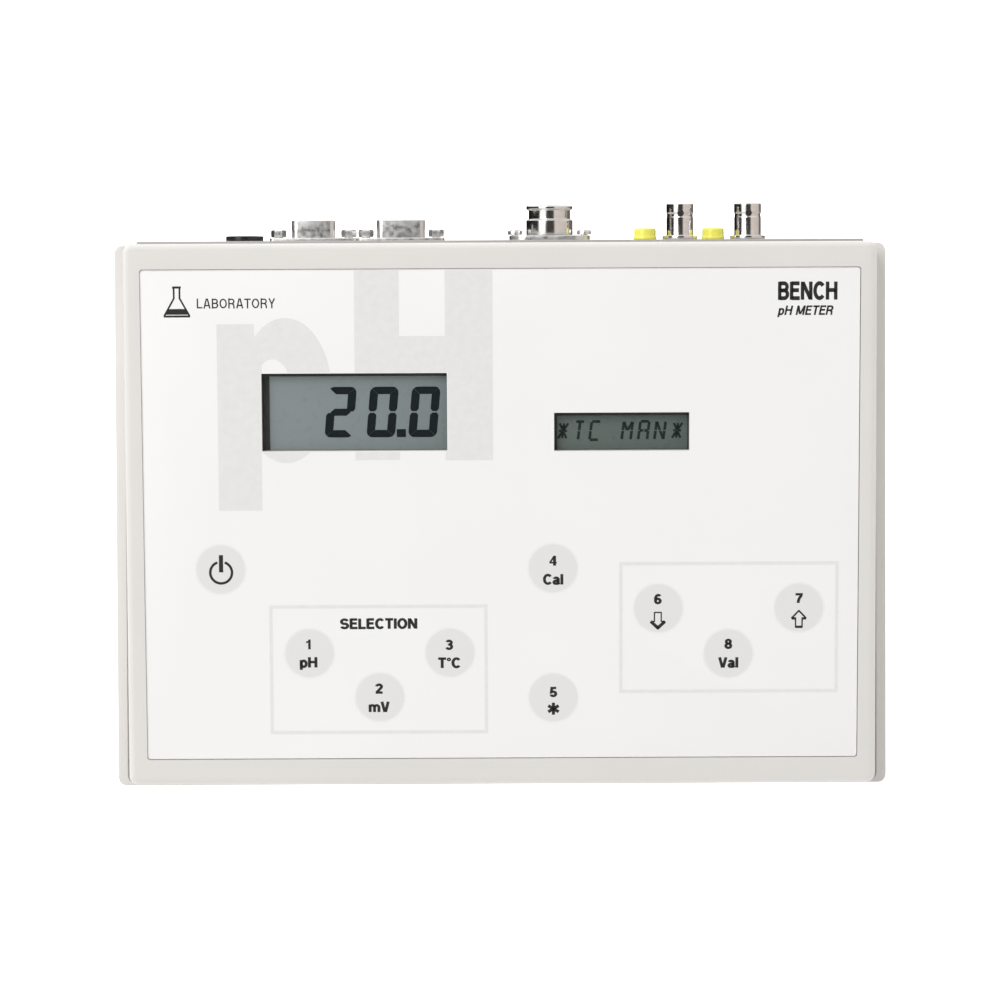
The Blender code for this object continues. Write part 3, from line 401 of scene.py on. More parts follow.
def combine(target, bm, operation, place=None):
    """Boolean a helper shape with the target and bake the result."""
    helper = to_object(bm, "helper")
    helper.data.transform(place or Matrix.Identity(4))
    boolean = target.modifiers.new("combine", "BOOLEAN")
    boolean.operation = operation
    boolean.solver = "EXACT"
    boolean.object = helper
    applied(target)
    bpy.data.objects.remove(helper)
    return target


def cut(target, bm, place=None):
    """Take a helper shape away from the target."""
    return combine(target, bm, "DIFFERENCE", place)


def dress(made, name, look, body, place=None, replaces=(), smooth=35):
    """Name a piece, give it its look and body, and say which CAD nodes it stands for."""
    made.name = name
    made.data.name = name
    if place is not None:
        made.data.transform(place)
    made.data.materials.clear()
    made.data.materials.append(LOOKS[look].material)
    made.data.shade_smooth()
    made.data.set_sharp_from_angle(angle=math.radians(smooth))
    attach(made, body)
    if replaces:
        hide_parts(*replaces)
    return made


def piece(name, bm, look, body="case", place=None, replaces=(), smooth=35):
    """One finished piece from a bmesh."""
    return dress(to_object(bm), name, look, body, place, replaces, smooth)


def lathe(bm, profile, at=(0, 0), segments=64):
    """Turn a closed profile of (radius, z) points about a z axis through at."""
    rings = []
    for radius, z in profile:
        if radius < 1e-7:
            rings.append([bm.verts.new((at[0], at[1], z))])
            continue
        rings.append([bm.verts.new((at[0] + radius * math.cos(2 * math.pi * k / segments),
                                    at[1] + radius * math.sin(2 * math.pi * k / segments), z))
                      for k in range(segments)])
    closed = profile[0][0] > 1e-7
    pairs = list(zip(rings, rings[1:])) + ([(rings[-1], rings[0])] if closed else [])
    for upper, lower in pairs:
        for k in range(segments):
            corners = [upper[k % len(upper)], lower[k % len(lower)],
                       lower[(k + 1) % len(lower)], upper[(k + 1) % len(upper)]]
            distinct = list(dict.fromkeys(corners))
            if len(distinct) > 2:
                bm.faces.new(distinct)


def softened(profile, radius, steps=3):
    """A profile whose corners are cut with small arcs."""
    closed = profile[0][0] > 1e-7
    count = len(profile)
    made = []
    for index, point in enumerate(profile):
        if not closed and index in (0, count - 1):
            made.append(point)
            continue
        here = Vector(point)
        before = Vector(profile[index - 1]) - here
        after = Vector(profile[(index + 1) % count]) - here
        if here.x < 1e-7:
            made.append(point)
            continue
        cut = min(radius, before.length * 0.45, after.length * 0.45)
        start = here + before.normalized() * cut
        end = here + after.normalized() * cut
        for step in range(steps + 1):
            t = step / steps
            made.append(tuple(start * (1 - t) ** 2 + here * 2 * t * (1 - t) + end * t ** 2))
    return made


def turned(name, profile, look, x, replaces=(), slot=None, soft=0.0, steps=3, segments=64):
    """A turned piece of the rear panel; profile and soft are in millimetres."""
    profile = [(a * MM, b * MM) for a, b in profile]
    bm = bmesh.new()
    lathe(bm, softened(profile, soft * MM, steps) if soft else profile, (x, 0), segments)
    return piece(name, bm, look, place=REAR, replaces=replaces)


# ---------------------------------------------------------------- case
def wedge(bm, inset, drop, floor):
    """The case's drafted block with its walls moved in by inset and its top lowered by drop."""
    lean = TAN_SLOPE * TAN_DRAFT
    front = (inset - drop * TAN_DRAFT) / (1 - lean)
    rear = -(inset - drop * TAN_DRAFT) / (1 + lean)
    top = {-1: FACE_FRONT.y + front, 1: FACE_REAR.y + rear}
    foot = {-1: FACE_FRONT.y + inset - (FACE_FRONT.z - floor) * TAN_DRAFT, 1: rear_wall(floor) - inset}
    for vert in bmesh.ops.create_cube(bm, size=2)["verts"]:
        side, end, up = (round(value) for value in vert.co)
        y = top[end] if up > 0 else foot[end]
        z = face_height(y) - drop if up > 0 else floor
        narrowing = FACE_TAPER * (y - FACE_FRONT.y) / (FACE_REAR.y - FACE_FRONT.y)
        half = FACE_WIDTH / 2 - narrowing - inset + (face_height(y) - z) * TAN_DRAFT
        vert.co = (side * half, y, z)


def rear_cuts(target):
    """The rebate and opening for the rear panel."""
    low, high = local_box("rear_panel", REAR)
    cut(target, boxes((low - Vector((CLEARANCE,) * 3), high + Vector((CLEARANCE, CLEARANCE, WALL)))), REAR)
    cut(target, boxes(((low.x + PLATE_LAP, low.y + PLATE_LAP, low.z - 3 * WALL),
                       (high.x - PLATE_LAP, high.y - PLATE_LAP, WALL))), REAR)


def cover():
    """Top cover with soft edges, the panel recess, window openings and key holes."""
    foot = PARTING + CLEARANCE
    shell = bmesh.new()
    wedge(shell, 0, 0, foot)
    bevel(shell, CORNER_RADIUS, rises, 8)
    on_top = FACE_FRONT.z - CLEARANCE
    bevel(shell, TOP_EDGE_RADIUS, lambda edge: min(v.co.z for v in edge.verts) > on_top, 6)
    made = to_object(shell)
    hollow = bmesh.new()
    wedge(hollow, WALL, TOP_WALL / math.cos(SLOPE), foot - WALL)
    cut(made, hollow)
    depth = local_box("front_overlay", PANEL)[0].z - CLEARANCE
    recess = bmesh.new()
    plate(recess, (-FACE_WIDTH / 2 + FACE_SIDE, BEZEL - RECESS_EASE, depth),
          (FACE_WIDTH / 2 - FACE_SIDE + RECESS_EASE, FACE_LENGTH - BEZEL + RECESS_EASE / 2, WALL),
          RECESS_CORNER)
    cut(made, recess, PANEL)
    pockets = bmesh.new()
    through = bmesh.new()
    for name, (left, right, front, rear) in WINDOWS.items():
        low, high = local_box(name + "_window", PANEL)
        grow = Vector((CLEARANCE,) * 3)
        add_box(pockets, low - grow, (high.x + CLEARANCE, high.y + CLEARANCE, WALL))
        add_box(through, (left, front, -2 * TOP_WALL), (right, rear, WALL))
    for spot in KEY_SPOTS.values():
        add_rod(through, KEY_RADIUS + CLEARANCE, -2 * TOP_WALL, WALL, spot.xy)
    cut(made, pockets, PANEL)
    cut(made, through, PANEL)
    rear_cuts(made)
    dress(made, "cover_shell", "housing", "case", None, ["top_cover"], 40)


def tray():
    """Base tray with a softened ledge, screw wells and foot recesses."""
    half = CASE_WIDTH / 2 - TRAY_TAPER
    low = tray_low.z
    rear = rear_wall(PARTING)
    block = bmesh.new()
    for vert in bmesh.ops.create_cube(block, size=2)["verts"]:
        z = PARTING if vert.co.z > 0 else low
        y, widening = (rear_wall(z), TRAY_TAPER) if vert.co.y > 0 else (TRAY_FRONT, 0)
        vert.co = (math.copysign(half + widening, vert.co.x), y, z)
    bevel(block, CORNER_RADIUS, rises, 8)
    bevel(block, BASE_EDGE_RADIUS, level(low), 4)
    bevel(block, 0.5 * MM, level(PARTING), 3)
    made = to_object(block)
    for inset, floor, roof in ((WALL, low + FLOOR, PARTING - 4 * MM),
                               (RIM_WIDTH, low + 2 * FLOOR, PARTING + WALL)):
        cut(made, boxes(((inset - half, TRAY_FRONT + inset, floor), (half - inset, rear - inset, roof))))
    groove = bmesh.new()
    wedge(groove, -GROOVE_WIDTH, 0, PARTING - GROOVE_DEPTH)
    for vert in groove.verts:
        vert.co.y = min(max(vert.co.y, TRAY_FRONT + GROOVE_DEPTH), rear - GROOVE_DEPTH)
    bevel(groove, CORNER_RADIUS, rises, 8)
    cut(made, groove)
    wells = bmesh.new()
    screws = [middle_of(f"case_screw_{number}", UPRIGHT).xy for number in range(1, 5)]
    for number, spot in enumerate(screws, 1):
        foot_low, foot_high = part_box(f"foot_{number}")
        radius = (foot_high.x - foot_low.x) / 2 + CLEARANCE
        add_rod(wells, radius, 0, foot_high.z + CLEARANCE, ((foot_low + foot_high) / 2).xy)
        add_rod(wells, SCREW_WELL, 0, 10 * MM, spot)
    combine(made, rods(SCREW_TOWER, low + FLOOR / 2, 20 * MM, screws), "UNION")
    cut(made, wells)
    rear_cuts(made)
    dress(made, "tray_shell", "tray", "case", None, ["base_tray"], 40)


def feet():
    """Rubber feet with a rounded rim and a moulded ring underneath."""
    for number in range(1, 5):
        low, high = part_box(f"foot_{number}")
        radius = (high.x - low.x) / 2
        middle = (low + high) / 2
        groove = low.z + 0.4 * MM
        profile = [(0, high.z), (radius, high.z), (radius, low.z + 0.9 * MM), (radius - 0.9 * MM, low.z),
                   (radius * 0.62, low.z), (radius * 0.56, groove), (radius * 0.36, groove),
                   (radius * 0.30, low.z), (0, low.z)]
        bm = bmesh.new()
        lathe(bm, softened(profile, 0.35 * MM), middle.xy, 48)
        piece(f"foot_pad_{number}", bm, "rubber", replaces=[f"foot_{number}"])


def screw(name, node, place, radius, head, crown, up, cross):
    """A domed screw with a cross recess; up is the way its tip points along z."""
    low, high = local_box(node, place)
    x, y = ((low + high) / 2).xy
    sign = 1 if up else -1
    bearing = low.z + crown if up else high.z - crown
    length = high.z - low.z - crown
    profile = [(0, bearing - sign * crown)]
    for step in range(1, 7):
        angle = math.pi / 2 * step / 6
        profile.append((head * math.sin(angle), bearing - sign * crown * (0.7 + 0.3 * math.cos(angle))))
    profile += [(head, bearing), (radius, bearing)]
    turns = max(4, int(length / (radius * 0.55)))
    for turn in range(turns):
        z = bearing + sign * length * 0.9 * (turn + 0.5) / turns
        profile += [(radius * 0.98, z), (radius * 0.80, z + sign * length * 0.45 / turns)]
    profile += [(radius * 0.3, bearing + sign * length), (0, bearing + sign * length)]
    bm = bmesh.new()
    lathe(bm, profile, (x, y), 32)
    made = to_object(bm)
    top = bearing - sign * crown
    reach = sorted((top - sign * crown, top + sign * crown * 0.6))
    for wide, deep in ((cross, cross * 0.28), (cross * 0.28, cross)):
        cut(made, boxes(((x - wide / 2, y - deep / 2, reach[0]), (x + wide / 2, y + deep / 2, reach[1]))))
    return dress(made, name, "screw_steel", "case", place, [node])


def case_screws():
    """Case screws deep in the tray's wells."""
    for number in range(1, 5):
        screw(f"case_fixing_{number}", f"case_screw_{number}", UPRIGHT, 2.0 * MM, 4.0 * MM, 2.8 * MM,
              True, 4.4 * MM)


# ---------------------------------------------------------------- front panel
def overlay():
    """Membrane film with its windows and key holes."""
    low, high = local_box("front_overlay", PANEL)
    sheet = bmesh.new()
    reach = Vector((CLEARANCE - FILM_GAP, CLEARANCE - FILM_GAP, 0))
    low = low - reach + Vector((LEFT_FILM_GAP - FILM_GAP, 0, 0))
    plate(sheet, low, high + reach, RECESS_CORNER, 0.05 * MM)
    made = to_object(sheet)
    holes = bmesh.new()
    for left, right, front, rear in WINDOWS.values():
        plate(holes, (left, front, -WALL), (right, rear, WALL), 0.25 * MM, 0, 3)
    for spot in KEY_SPOTS.values():
        add_rod(holes, KEY_RADIUS + 0.02 * MM, -WALL, WALL, spot.xy, 96)
    cut(made, holes)
    dress(made, "overlay_film", "overlay", "case", PANEL, ["front_overlay"])


def key_discs():
    """Each key's printed disc with its plunger."""
    for key, spot in KEY_SPOTS.items():
        low, high = local_box(key, PANEL)
        profile = [(0, high.z), (KEY_RADIUS * 0.8, high.z), (KEY_RADIUS, high.z),
                   (KEY_RADIUS, high.z - 2 * MM), (3 * MM, high.z - 2 * MM), (3 * MM, low.z), (0, low.z)]
        bm = bmesh.new()
        lathe(bm, profile, (0, 0), 96)
        made = to_object(bm)
        made.matrix_world = PANEL @ Matrix.Translation((*spot.xy, 0))
        dress(made, key + "_disc", "key", key + "_body", None, [key])


def strip(bm, start, end, width, low, high):
    """A straight printed bar between two points."""
    start, end = Vector(start), Vector(end)
    along = (end - start).normalized()
    across = Vector((-along.y, along.x)) * width / 2
    corners = [start - across, end - across, end + across, start + across]
    solid(bm, corners, low, high)


def solid(bm, outline, low, high):
    """An outline extruded between two heights."""
    bottom = [bm.verts.new((p[0], p[1], low)) for p in outline]
    top = [bm.verts.new((p[0], p[1], high)) for p in outline]
    bm.faces.new(list(reversed(bottom)))
    bm.faces.new(top)
    for k in range(len(outline)):
        n = (k + 1) % len(outline)
        bm.faces.new((bottom[k], bottom[n], top[n], top[k]))


FILM_TOP = local_box("front_overlay", PANEL)[1].z
INK_LOW = FILM_TOP + INK_RAISE
INK_HIGH = INK_LOW + INK_THICKNESS


def arc(middle, radius, start, end, steps=24):
    """Points on a circular or elliptical arc, in degrees."""
    rx, ry = radius if isinstance(radius, tuple) else (radius, radius)
    angles = [math.radians(start + (end - start) * k / steps) for k in range(steps + 1)]
    return [(middle[0] + rx * math.cos(a), middle[1] + ry * math.sin(a)) for a in angles]


def ribbon(bm, points, width, low, high):
    """A stroke of even width along a line of points with mitred joints; a repeated end closes it."""
    points = [Vector(p) for p in points]
    closed = (points[0] - points[-1]).length < 1e-9
    if closed:
        points.pop()
    count = len(points)
    rows = []
    for k, here in enumerate(points):
        before = points[k - 1] if k or closed else None
        after = points[(k + 1) % count] if k < count - 1 or closed else None
        sides = [Vector((-step.y, step.x)).normalized() for step in
                 ([here - before] if before else []) + ([after - here] if after else [])]
        across = (sides[0] + sides[-1]).normalized()
        across *= width / 2 / max(0.5, across.dot(sides[0]))
        rows.append([bm.verts.new((*(here + side * across), z)) for side in (-1, 1) for z in (low, high)])
    for k in range(count if closed else count - 1):
        a, b = rows[k], rows[(k + 1) % count]
        for i, j in ((0, 2), (2, 3), (3, 1), (1, 0)):
            bm.faces.new((a[i], a[j], b[j], b[i]))
    if not closed:
        for row in (rows[0], rows[-1]):
            bm.faces.new((row[0], row[1], row[3], row[2]))


def bow(x, y, rx, ry, start, end, steps=14):
    """An arc of a letter."""
    return arc((x, y), (rx, ry), start, end, steps)


# Outlines of the large pale letters, in mm; a side at FULL ends at the film's rear edge.
FULL = 1000.0
COUNTER_LEFT = -83.4
COUNTER = arc((-79.6, 140.0), (6.5, 10.8), -130, 130, 48)
WATERMARK = {
    "watermark_p": [
        [(-98.9, 97.6), (-83.7, 97.6), (-83.7, 155.0), (-85.9, 157.5), (-85.9, 163.1), (-98.9, 163.1)],
        arc((-75.0, 139.8), (16.0, 25.4), 0, 356, 89),
    ],
    "watermark_h": [
        [(-50.9, 115.3), (-35.3, 115.3), (-35.3, FULL), (-50.9, FULL)],
        [(-19.3, 115.1), (-2.7, 115.1), (-2.7, FULL), (-19.3, FULL)],
        [(-36.0, 140.0), (-19.0, 140.0), (-19.0, 158.7), (-36.0, 158.7)],
    ],
}
# Bold sans-serif capitals 1 high: width, then strokes (lists of points) and filled outlines (tuples).
LETTERS = {
    "S": (0.70, [bow(0.35, 0.70, 0.245, 0.205, 18, 262) + bow(0.35, 0.30, 0.255, 0.21, 82, -162)]),
    "E": (0.62, [[(0.10, 0), (0.10, 1)], [(0.1, 0.91), (0.60, 0.91)], [(0.1, 0.53), (0.56, 0.53)],
                 [(0.1, 0.09), (0.62, 0.09)]]),
    "L": (0.58, [[(0.10, 1), (0.10, 0.09), (0.58, 0.09)]]),
    "C": (0.72, [bow(0.385, 0.5, 0.285, 0.415, 40, 320, 24)]),
    "T": (0.64, [[(0, 0.91), (0.64, 0.91)], [(0.32, 0.95), (0.32, 0)]]),
    "I": (0.20, [[(0.10, 0), (0.10, 1)]]),
    "O": (0.78, [bow(0.39, 0.5, 0.29, 0.415, 0, 360, 32)]),
    "N": (0.72, [[(0.1, 0), (0.1, 1)], [(0.62, 0), (0.62, 1)], [(0.13, 0.95), (0.59, 0.05)]]),
    "M": (0.86, [[(0.1, 0), (0.1, 1)], [(0.76, 0), (0.76, 1)], [(0.13, 0.95), (0.41, 0.1)],
                 [(0.73, 0.95), (0.45, 0.1)]]),
    "V": (0.70, [[(0.09, 1), (0.32, 0)], [(0.61, 1), (0.38, 0)]]),
    "A": (0.74, [[(0.09, 0), (0.33, 1)], [(0.65, 0), (0.41, 1)], [(0.17, 0.30), (0.57, 0.30)]]),
    "B": (0.68, [[(0.1, 0), (0.1, 1)], [(0.1, 0.91)] + bow(0.38, 0.715, 0.18, 0.195, 90, -90) + [(0.1, 0.52)],
                 [(0.1, 0.52)] + bow(0.38, 0.305, 0.21, 0.215, 90, -90) + [(0.1, 0.09)]]),
    "R": (0.70, [[(0.1, 0), (0.1, 1)], [(0.1, 0.91)] + bow(0.38, 0.70, 0.2, 0.21, 90, -90) + [(0.1, 0.49)],
                 [(0.40, 0.49), (0.56, 0.34), (0.60, 0)]]),
    "Y": (0.70, [[(0.09, 1), (0.35, 0.44)], [(0.61, 1), (0.35, 0.44)], [(0.35, 0), (0.35, 0.48)]]),
    "H": (0.72, [[(0.10, 0), (0.10, 1)], [(0.62, 0), (0.62, 1)], [(0.1, 0.53), (0.62, 0.53)]]),
    "p": (0.58, [[(0.09, -0.22), (0.09, 0.73)], bow(0.29, 0.365, 0.2, 0.29, 0, 360, 28)]),
    "m": (0.90, [[(0.09, 0), (0.09, 0.73)], bow(0.27, 0.45, 0.18, 0.20, 180, 0) + [(0.45, 0)],
                 bow(0.63, 0.45, 0.18, 0.20, 180, 0) + [(0.81, 0)]]),
    "a": (0.56, [bow(0.27, 0.50, 0.17, 0.15, 165, 0) + [(0.44, 0.15), (0.50, 0)],
                 [(0.44, 0.43)] + bow(0.24, 0.215, 0.155, 0.135, 90, 270) + [(0.33, 0.09), (0.44, 0.22)]]),
    "l": (0.20, [[(0.10, 0), (0.10, 1)]]),
    "°": (0.30, [bow(0.15, 0.83, 0.11, 0.11, 0, 360, 16)]),
    " ": (0.28, []),
    "1": (0.44, [((0.02, 0.66), (0.02, 0.80), (0.17, 0.84), (0.24, 1), (0.40, 1), (0.40, 0), (0.20, 0),
                  (0.20, 0.66))]),
    "2": (0.58, [bow(0.29, 0.70, 0.2, 0.21, 172, -34) + [(0.13, 0.16), (0.13, 0.09), (0.58, 0.09)]]),
    "3": (0.58, [bow(0.27, 0.715, 0.185, 0.195, 160, -80) + bow(0.27, 0.30, 0.215, 0.215, 80, -160)]),
    "4": (0.60, [[(0.42, 0), (0.42, 1)], ((0, 0.22), (0, 0.38), (0.33, 1), (0.42, 1), (0.42, 0.82),
                                          (0.17, 0.38), (0.60, 0.38), (0.60, 0.22))]),
    "5": (0.58, [[(0.52, 0.91), (0.16, 0.91), (0.12, 0.47)] + bow(0.28, 0.31, 0.205, 0.225, 128, -160)]),
    "6": (0.58, [bow(0.29, 0.31, 0.195, 0.22, 0, 360, 28), bow(0.32, 0.50, 0.225, 0.41, 192, 48, 20)]),
    "7": (0.56, [[(0, 0.91), (0.47, 0.91)] + bow(0.66, 0, 0.44, 0.82, 120, 178)]),
    "8": (0.58, [bow(0.29, 0.715, 0.165, 0.19, 0, 360, 28), bow(0.29, 0.30, 0.2, 0.215, 0, 360, 28)]),
}
SPACING = 0.07


def letters(bm, words, x, y, height, width, weight=0.19, shear=0.0):
    """Lettering with its baseline middle at x, y and capitals of the given height."""
    length = sum(LETTERS[letter][0] for letter in words) + SPACING * (len(words) - 1)
    across = width / length
    cursor = x - length * across / 2
    for letter in words:
        advance, shapes = LETTERS[letter]
        drawn = bmesh.new()
        for shape in shapes:
            if isinstance(shape, tuple):
                solid(drawn, shape, INK_LOW, INK_HIGH)
            else:
                ribbon(drawn, shape, weight * (0.55 if letter == "°" else 1), INK_LOW, INK_HIGH)
        for vert in drawn.verts:
            vert.co = (cursor + (vert.co.x + vert.co.y * shear) * across, y + vert.co.y * height, vert.co.z)
        mesh = bpy.data.meshes.new("letter")
        drawn.to_mesh(mesh)
        drawn.free()
        bm.from_mesh(mesh)
        bpy.data.meshes.remove(mesh)
        cursor += (advance + SPACING) * across


def printed(name, bm, look="ink", body="case"):
    """A thin printed shape on the film."""
    return piece(name, bm, look, body, PANEL)


def watermark():
    """The large pale letters behind the displays, cut away at the windows."""
    full = (local_box("front_overlay", PANEL)[1].y - 0.25 * MM) / MM
    for name, outlines in WATERMARK.items():
        made = None
        for outline in outlines:
            bm = bmesh.new()
            solid(bm, [(x * MM, min(y, full) * MM) for x, y in outline], INK_LOW, INK_HIGH)
            made = combine(made, bm, "UNION") if made else to_object(bm)
        if name == "watermark_p":
            counter = bmesh.new()
            solid(counter, [(max(x, COUNTER_LEFT) * MM, y * MM) for x, y in COUNTER], -WALL, WALL)
            cut(made, counter)
        lap = 0.3 * MM
        cut(made, boxes(*(((left - lap, front - lap, -WALL), (right + lap, rear + lap, WALL))
                          for left, right, front, rear in WINDOWS.values())))
        dress(made, name, "watermark", "case", PANEL)


def panel_frames():
    """The two thin rectangles round the key groups."""
    for name, sides in FRAMES.items():
        left, right, front, rear = (value * MM for value in sides)
        made = to_object(boxes(((left, front, INK_LOW), (right, rear, INK_HIGH))))
        cut(made, boxes(((left + FRAME_LINE, front + FRAME_LINE, -WALL),
                         (right - FRAME_LINE, rear - FRAME_LINE, WALL))))
        dress(made, name, "frame_line", "case", PANEL)


def strokes(bm, lines, x, y):
    """Straight strokes given as (from, to, width) in millimetres round a middle."""
    for start, end, width in lines:
        strip(bm, (x + start[0] * MM, y + start[1] * MM), (x + end[0] * MM, y + end[1] * MM), width * MM,
              INK_LOW, INK_HIGH)


def ring(bm, x, y, radius, width, start, end, steps=48):
    """An open ring stroke, in metres and degrees."""
    outer = arc((x, y), radius + width / 2, start, end, steps)
    inner = arc((x, y), radius - width / 2, end, start, steps)
    for k in range(steps):
        quad = [outer[k], outer[k + 1], inner[steps - 1 - k], inner[steps - k]]
        solid(bm, quad, INK_LOW, INK_HIGH)


ARROW_DOWN = [((-1.2, 2.45), (1.2, 2.45), 0.45), ((-1.2, 2.6), (-1.2, -0.8), 0.45),
              ((1.2, 2.6), (1.2, -0.8), 0.45),
              ((-2.6, -0.75), (-1.05, -0.75), 0.42), ((1.05, -0.75), (2.6, -0.75), 0.42),
              ((-2.5, -0.75), (0.25, -3.3), 1.15), ((2.5, -0.75), (-0.25, -3.3), 1.15)]
ARROW_UP = [((-1.3, -2.75), (1.3, -2.75), 0.85), ((-1.15, -2.9), (-1.15, 0.2), 0.48),
            ((1.15, -2.9), (1.15, 0.2), 0.48),
            ((-2.55, 0.25), (-0.95, 0.25), 0.85), ((0.95, 0.25), (2.55, 0.25), 0.85),
            ((-2.6, 0.3), (0.15, 3.15), 0.6), ((2.6, 0.3), (-0.15, 3.15), 0.6)]
STAR = [((0, -2.15), (0, 2.15), 1.1), ((-1.85, -1.1), (1.85, 1.1), 1.1), ((-1.85, 1.1), (1.85, -1.1), 1.1)]
FLASK = [((-1.5, 5.6), (1.5, 5.6), 0.75), ((-1.0, 5.6), (-1.0, 1.6), 0.6), ((1.0, 5.6), (1.0, 1.6), 0.6),
         ((-1.0, 1.75), (-4.4, -4.3), 0.6), ((1.0, 1.75), (4.4, -4.3), 0.6), ((-4.6, -4.5), (4.6, -4.5), 0.7)]
FLASK_FILL = ((-2.8, -1.9), (-3.9, -3.9), (3.9, -3.9), (2.8, -1.9))
# How far the print sits off its key's usual places, in mm: to the right, numeral up, legend up.
KEY_TRIMS = {"key_1": (-0.4, 0.2, 0.15), "key_2": (-0.35, 0.1, -0.1), "key_3": (-0.25, -0.15, -0.25),
             "key_4": (0, -0.3, -0.55), "key_5": (0, -1.0, -0.1), "key_6": (-0.15, 0.3, 0),
             "key_7": (0, 0.35, -0.15), "key_8": (0, 0.45, 0.15)}
LEGENDS = {"key_1": "pH", "key_2": "mV", "key_3": "T°C", "key_4": "Cal", "key_8": "Val"}
LEGEND_WIDTHS = {"key_1": 6.0, "key_2": 7.2, "key_3": 7.9, "key_4": 7.0, "key_8": 6.9}
NUMERAL_RISE = 1.25 * MM
CAPITAL_HEIGHT = 3.7 * MM
NUMERAL_HEIGHT = 3.5 * MM
NUMERAL_WIDTH = 2.5 * MM
LEGEND_DROP = 5.2 * MM
SYMBOL_DROP = 3.9 * MM


def key_legends():
    """Numeral and legend or symbol of each key, moving with it."""
    for key, spot in KEY_SPOTS.items():
        x, y = spot.xy
        bm = bmesh.new()
        if key == "key_power":
            ring(bm, x + 0.1 * MM, y - 1.1 * MM, 3.82 * MM, 0.88 * MM, 110, 430)
            strokes(bm, [((0.1, 5.1), (0.1, -1.0), 1.45)], x, y)
        else:
            width = NUMERAL_WIDTH * LETTERS[key[-1]][0] / LETTERS["8"][0]
            x, rise, drop = x + KEY_TRIMS[key][0] * MM, KEY_TRIMS[key][1] * MM, KEY_TRIMS[key][2] * MM
            letters(bm, key[-1], x, y + NUMERAL_RISE + rise, NUMERAL_HEIGHT, width, 0.24)
            if key in LEGENDS:
                letters(bm, LEGENDS[key], x, y - LEGEND_DROP + drop, CAPITAL_HEIGHT,
                        LEGEND_WIDTHS[key] * MM, 0.24)
            else:
                symbol = {"key_5": STAR, "key_6": ARROW_DOWN, "key_7": ARROW_UP}[key]
                strokes(bm, symbol, x, y - SYMBOL_DROP + drop)
        printed(key + "_legend", bm, "ink", key + "_body")


def panel_words():
    """SELECTION, the name of the instrument type and a plain flask in the badge's place."""
    bm = bmesh.new()
    letters(bm, "SELECTION", -43.3 * MM, 55.45 * MM, CAPITAL_HEIGHT, 27.1 * MM, 0.24)
    printed("selection_word", bm)
    bm = bmesh.new()
    letters(bm, "pH METER", 106.2 * MM, 165.45 * MM, 3.3 * MM, 19.0 * MM, 0.19, 0.2)
    letters(bm, "BENCH", 107.1 * MM, 170.75 * MM, 6.3 * MM, 20.6 * MM, 0.22)
    printed("type_words", bm)
    bm = bmesh.new()
    x, y = -112.6 * MM, 170.4 * MM
    strokes(bm, FLASK, x, y)
    solid(bm, [(x + a * MM, y + b * MM) for a, b in FLASK_FILL], INK_LOW, INK_HIGH)
    letters(bm, "LABORATORY", -92.0 * MM, 168.6 * MM, 3.5 * MM, 27.5 * MM, 0.13)
    printed("flask_mark", bm)


# ---------------------------------------------------------------- displays
def digit_outlines(width, height, stroke, wide, gap, corner):
    """The seven segments of a digit as outlines; the outer corners are rounded."""
    half = height / 2
    cut = gap * 0.08

    def quarter(cx, cy, start, end):
        return arc((cx, cy), corner, start, end, 6)

    top = (quarter(corner, height - corner, 134, 90) + quarter(width - corner, height - corner, 90, 46)
           + [(width - wide - cut, height - stroke), (wide + cut, height - stroke)])
    upper_left = (quarter(corner, height - corner, 135.5, 180)
                  + [(0, half + gap + wide * 0.25), (wide * 0.22, half + gap * 0.6),
                     (wide * 0.75, half + gap * 0.6), (wide, half + gap + wide * 0.22),
                     (wide, height - stroke - cut)])
    middle = [(wide * 0.35 + gap, half), (wide, half + stroke * 0.48),
              (width - wide, half + stroke * 0.48), (width - wide * 0.35 - gap, half),
              (width - wide, half - stroke * 0.48), (wide, half - stroke * 0.48)]

    def mirrored(points, flip_x, flip_y):
        made = [((width - a) if flip_x else a, (height - b) if flip_y else b) for a, b in points]
        return made if flip_x == flip_y else list(reversed(made))

    return {"a": top, "d": mirrored(top, False, True), "f": upper_left, "g": middle,
            "b": mirrored(upper_left, True, False), "e": mirrored(upper_left, False, True),
            "c": mirrored(upper_left, True, True)}


DIGITS = {"2": "abged", "0": "abcdef"}
DIGIT_WIDTH = 10.0
DIGIT_HEIGHT = 17.8
DIGIT_STARTS = {-61.85: "2", -47.15: "0", -32.5: "0"}
DIGIT_BASE = 122.9
POINT = ((-36.45, 122.95), (-33.25, 125.75))
LCD_RAISE = 0.03 * MM
SEGMENT_THICKNESS = 0.03 * MM


def mask_with_painted_shade(name, margins):
    """The dark mask inside a window: its wide left and rear margins are painted shade cast by the window's
    edges, the thin ones the mask itself; margins at its left, right, front and rear are in millimetres.
    """
    window_left, window_right, window_front, window_rear = WINDOWS[name]
    left, right, front, rear = (margin * MM for margin in margins)
    top, lap = local_box(name + "_lcd", PANEL)[1].z, 2 * MM
    made = to_object(boxes(((window_left - lap, window_front - lap, top + 0.10 * MM),
                            (window_right + lap, window_rear + lap, top + 0.20 * MM))))
    cut(made, boxes(((window_left + left, window_front + front, top - MM),
                     (window_right - right, window_rear - rear, top + MM))))
    dress(made, name + "_display_mask_and_painted_shade", "mask", "case", PANEL)


def display_module(name, look):
    """A display cell and the pane above it."""
    for node, kind, finish, slot, corner, edge in (("_lcd", "_display_cell", look, "lcd", 0.6, 0.15),
                                                   ("_window", "_pane", "pane", "pane", 0.5, 0.1)):
        bm = bmesh.new()
        plate(bm, *local_box(name + node, PANEL), corner * MM, edge * MM)
        piece(name + kind, bm, finish, "case", PANEL, [name + node])


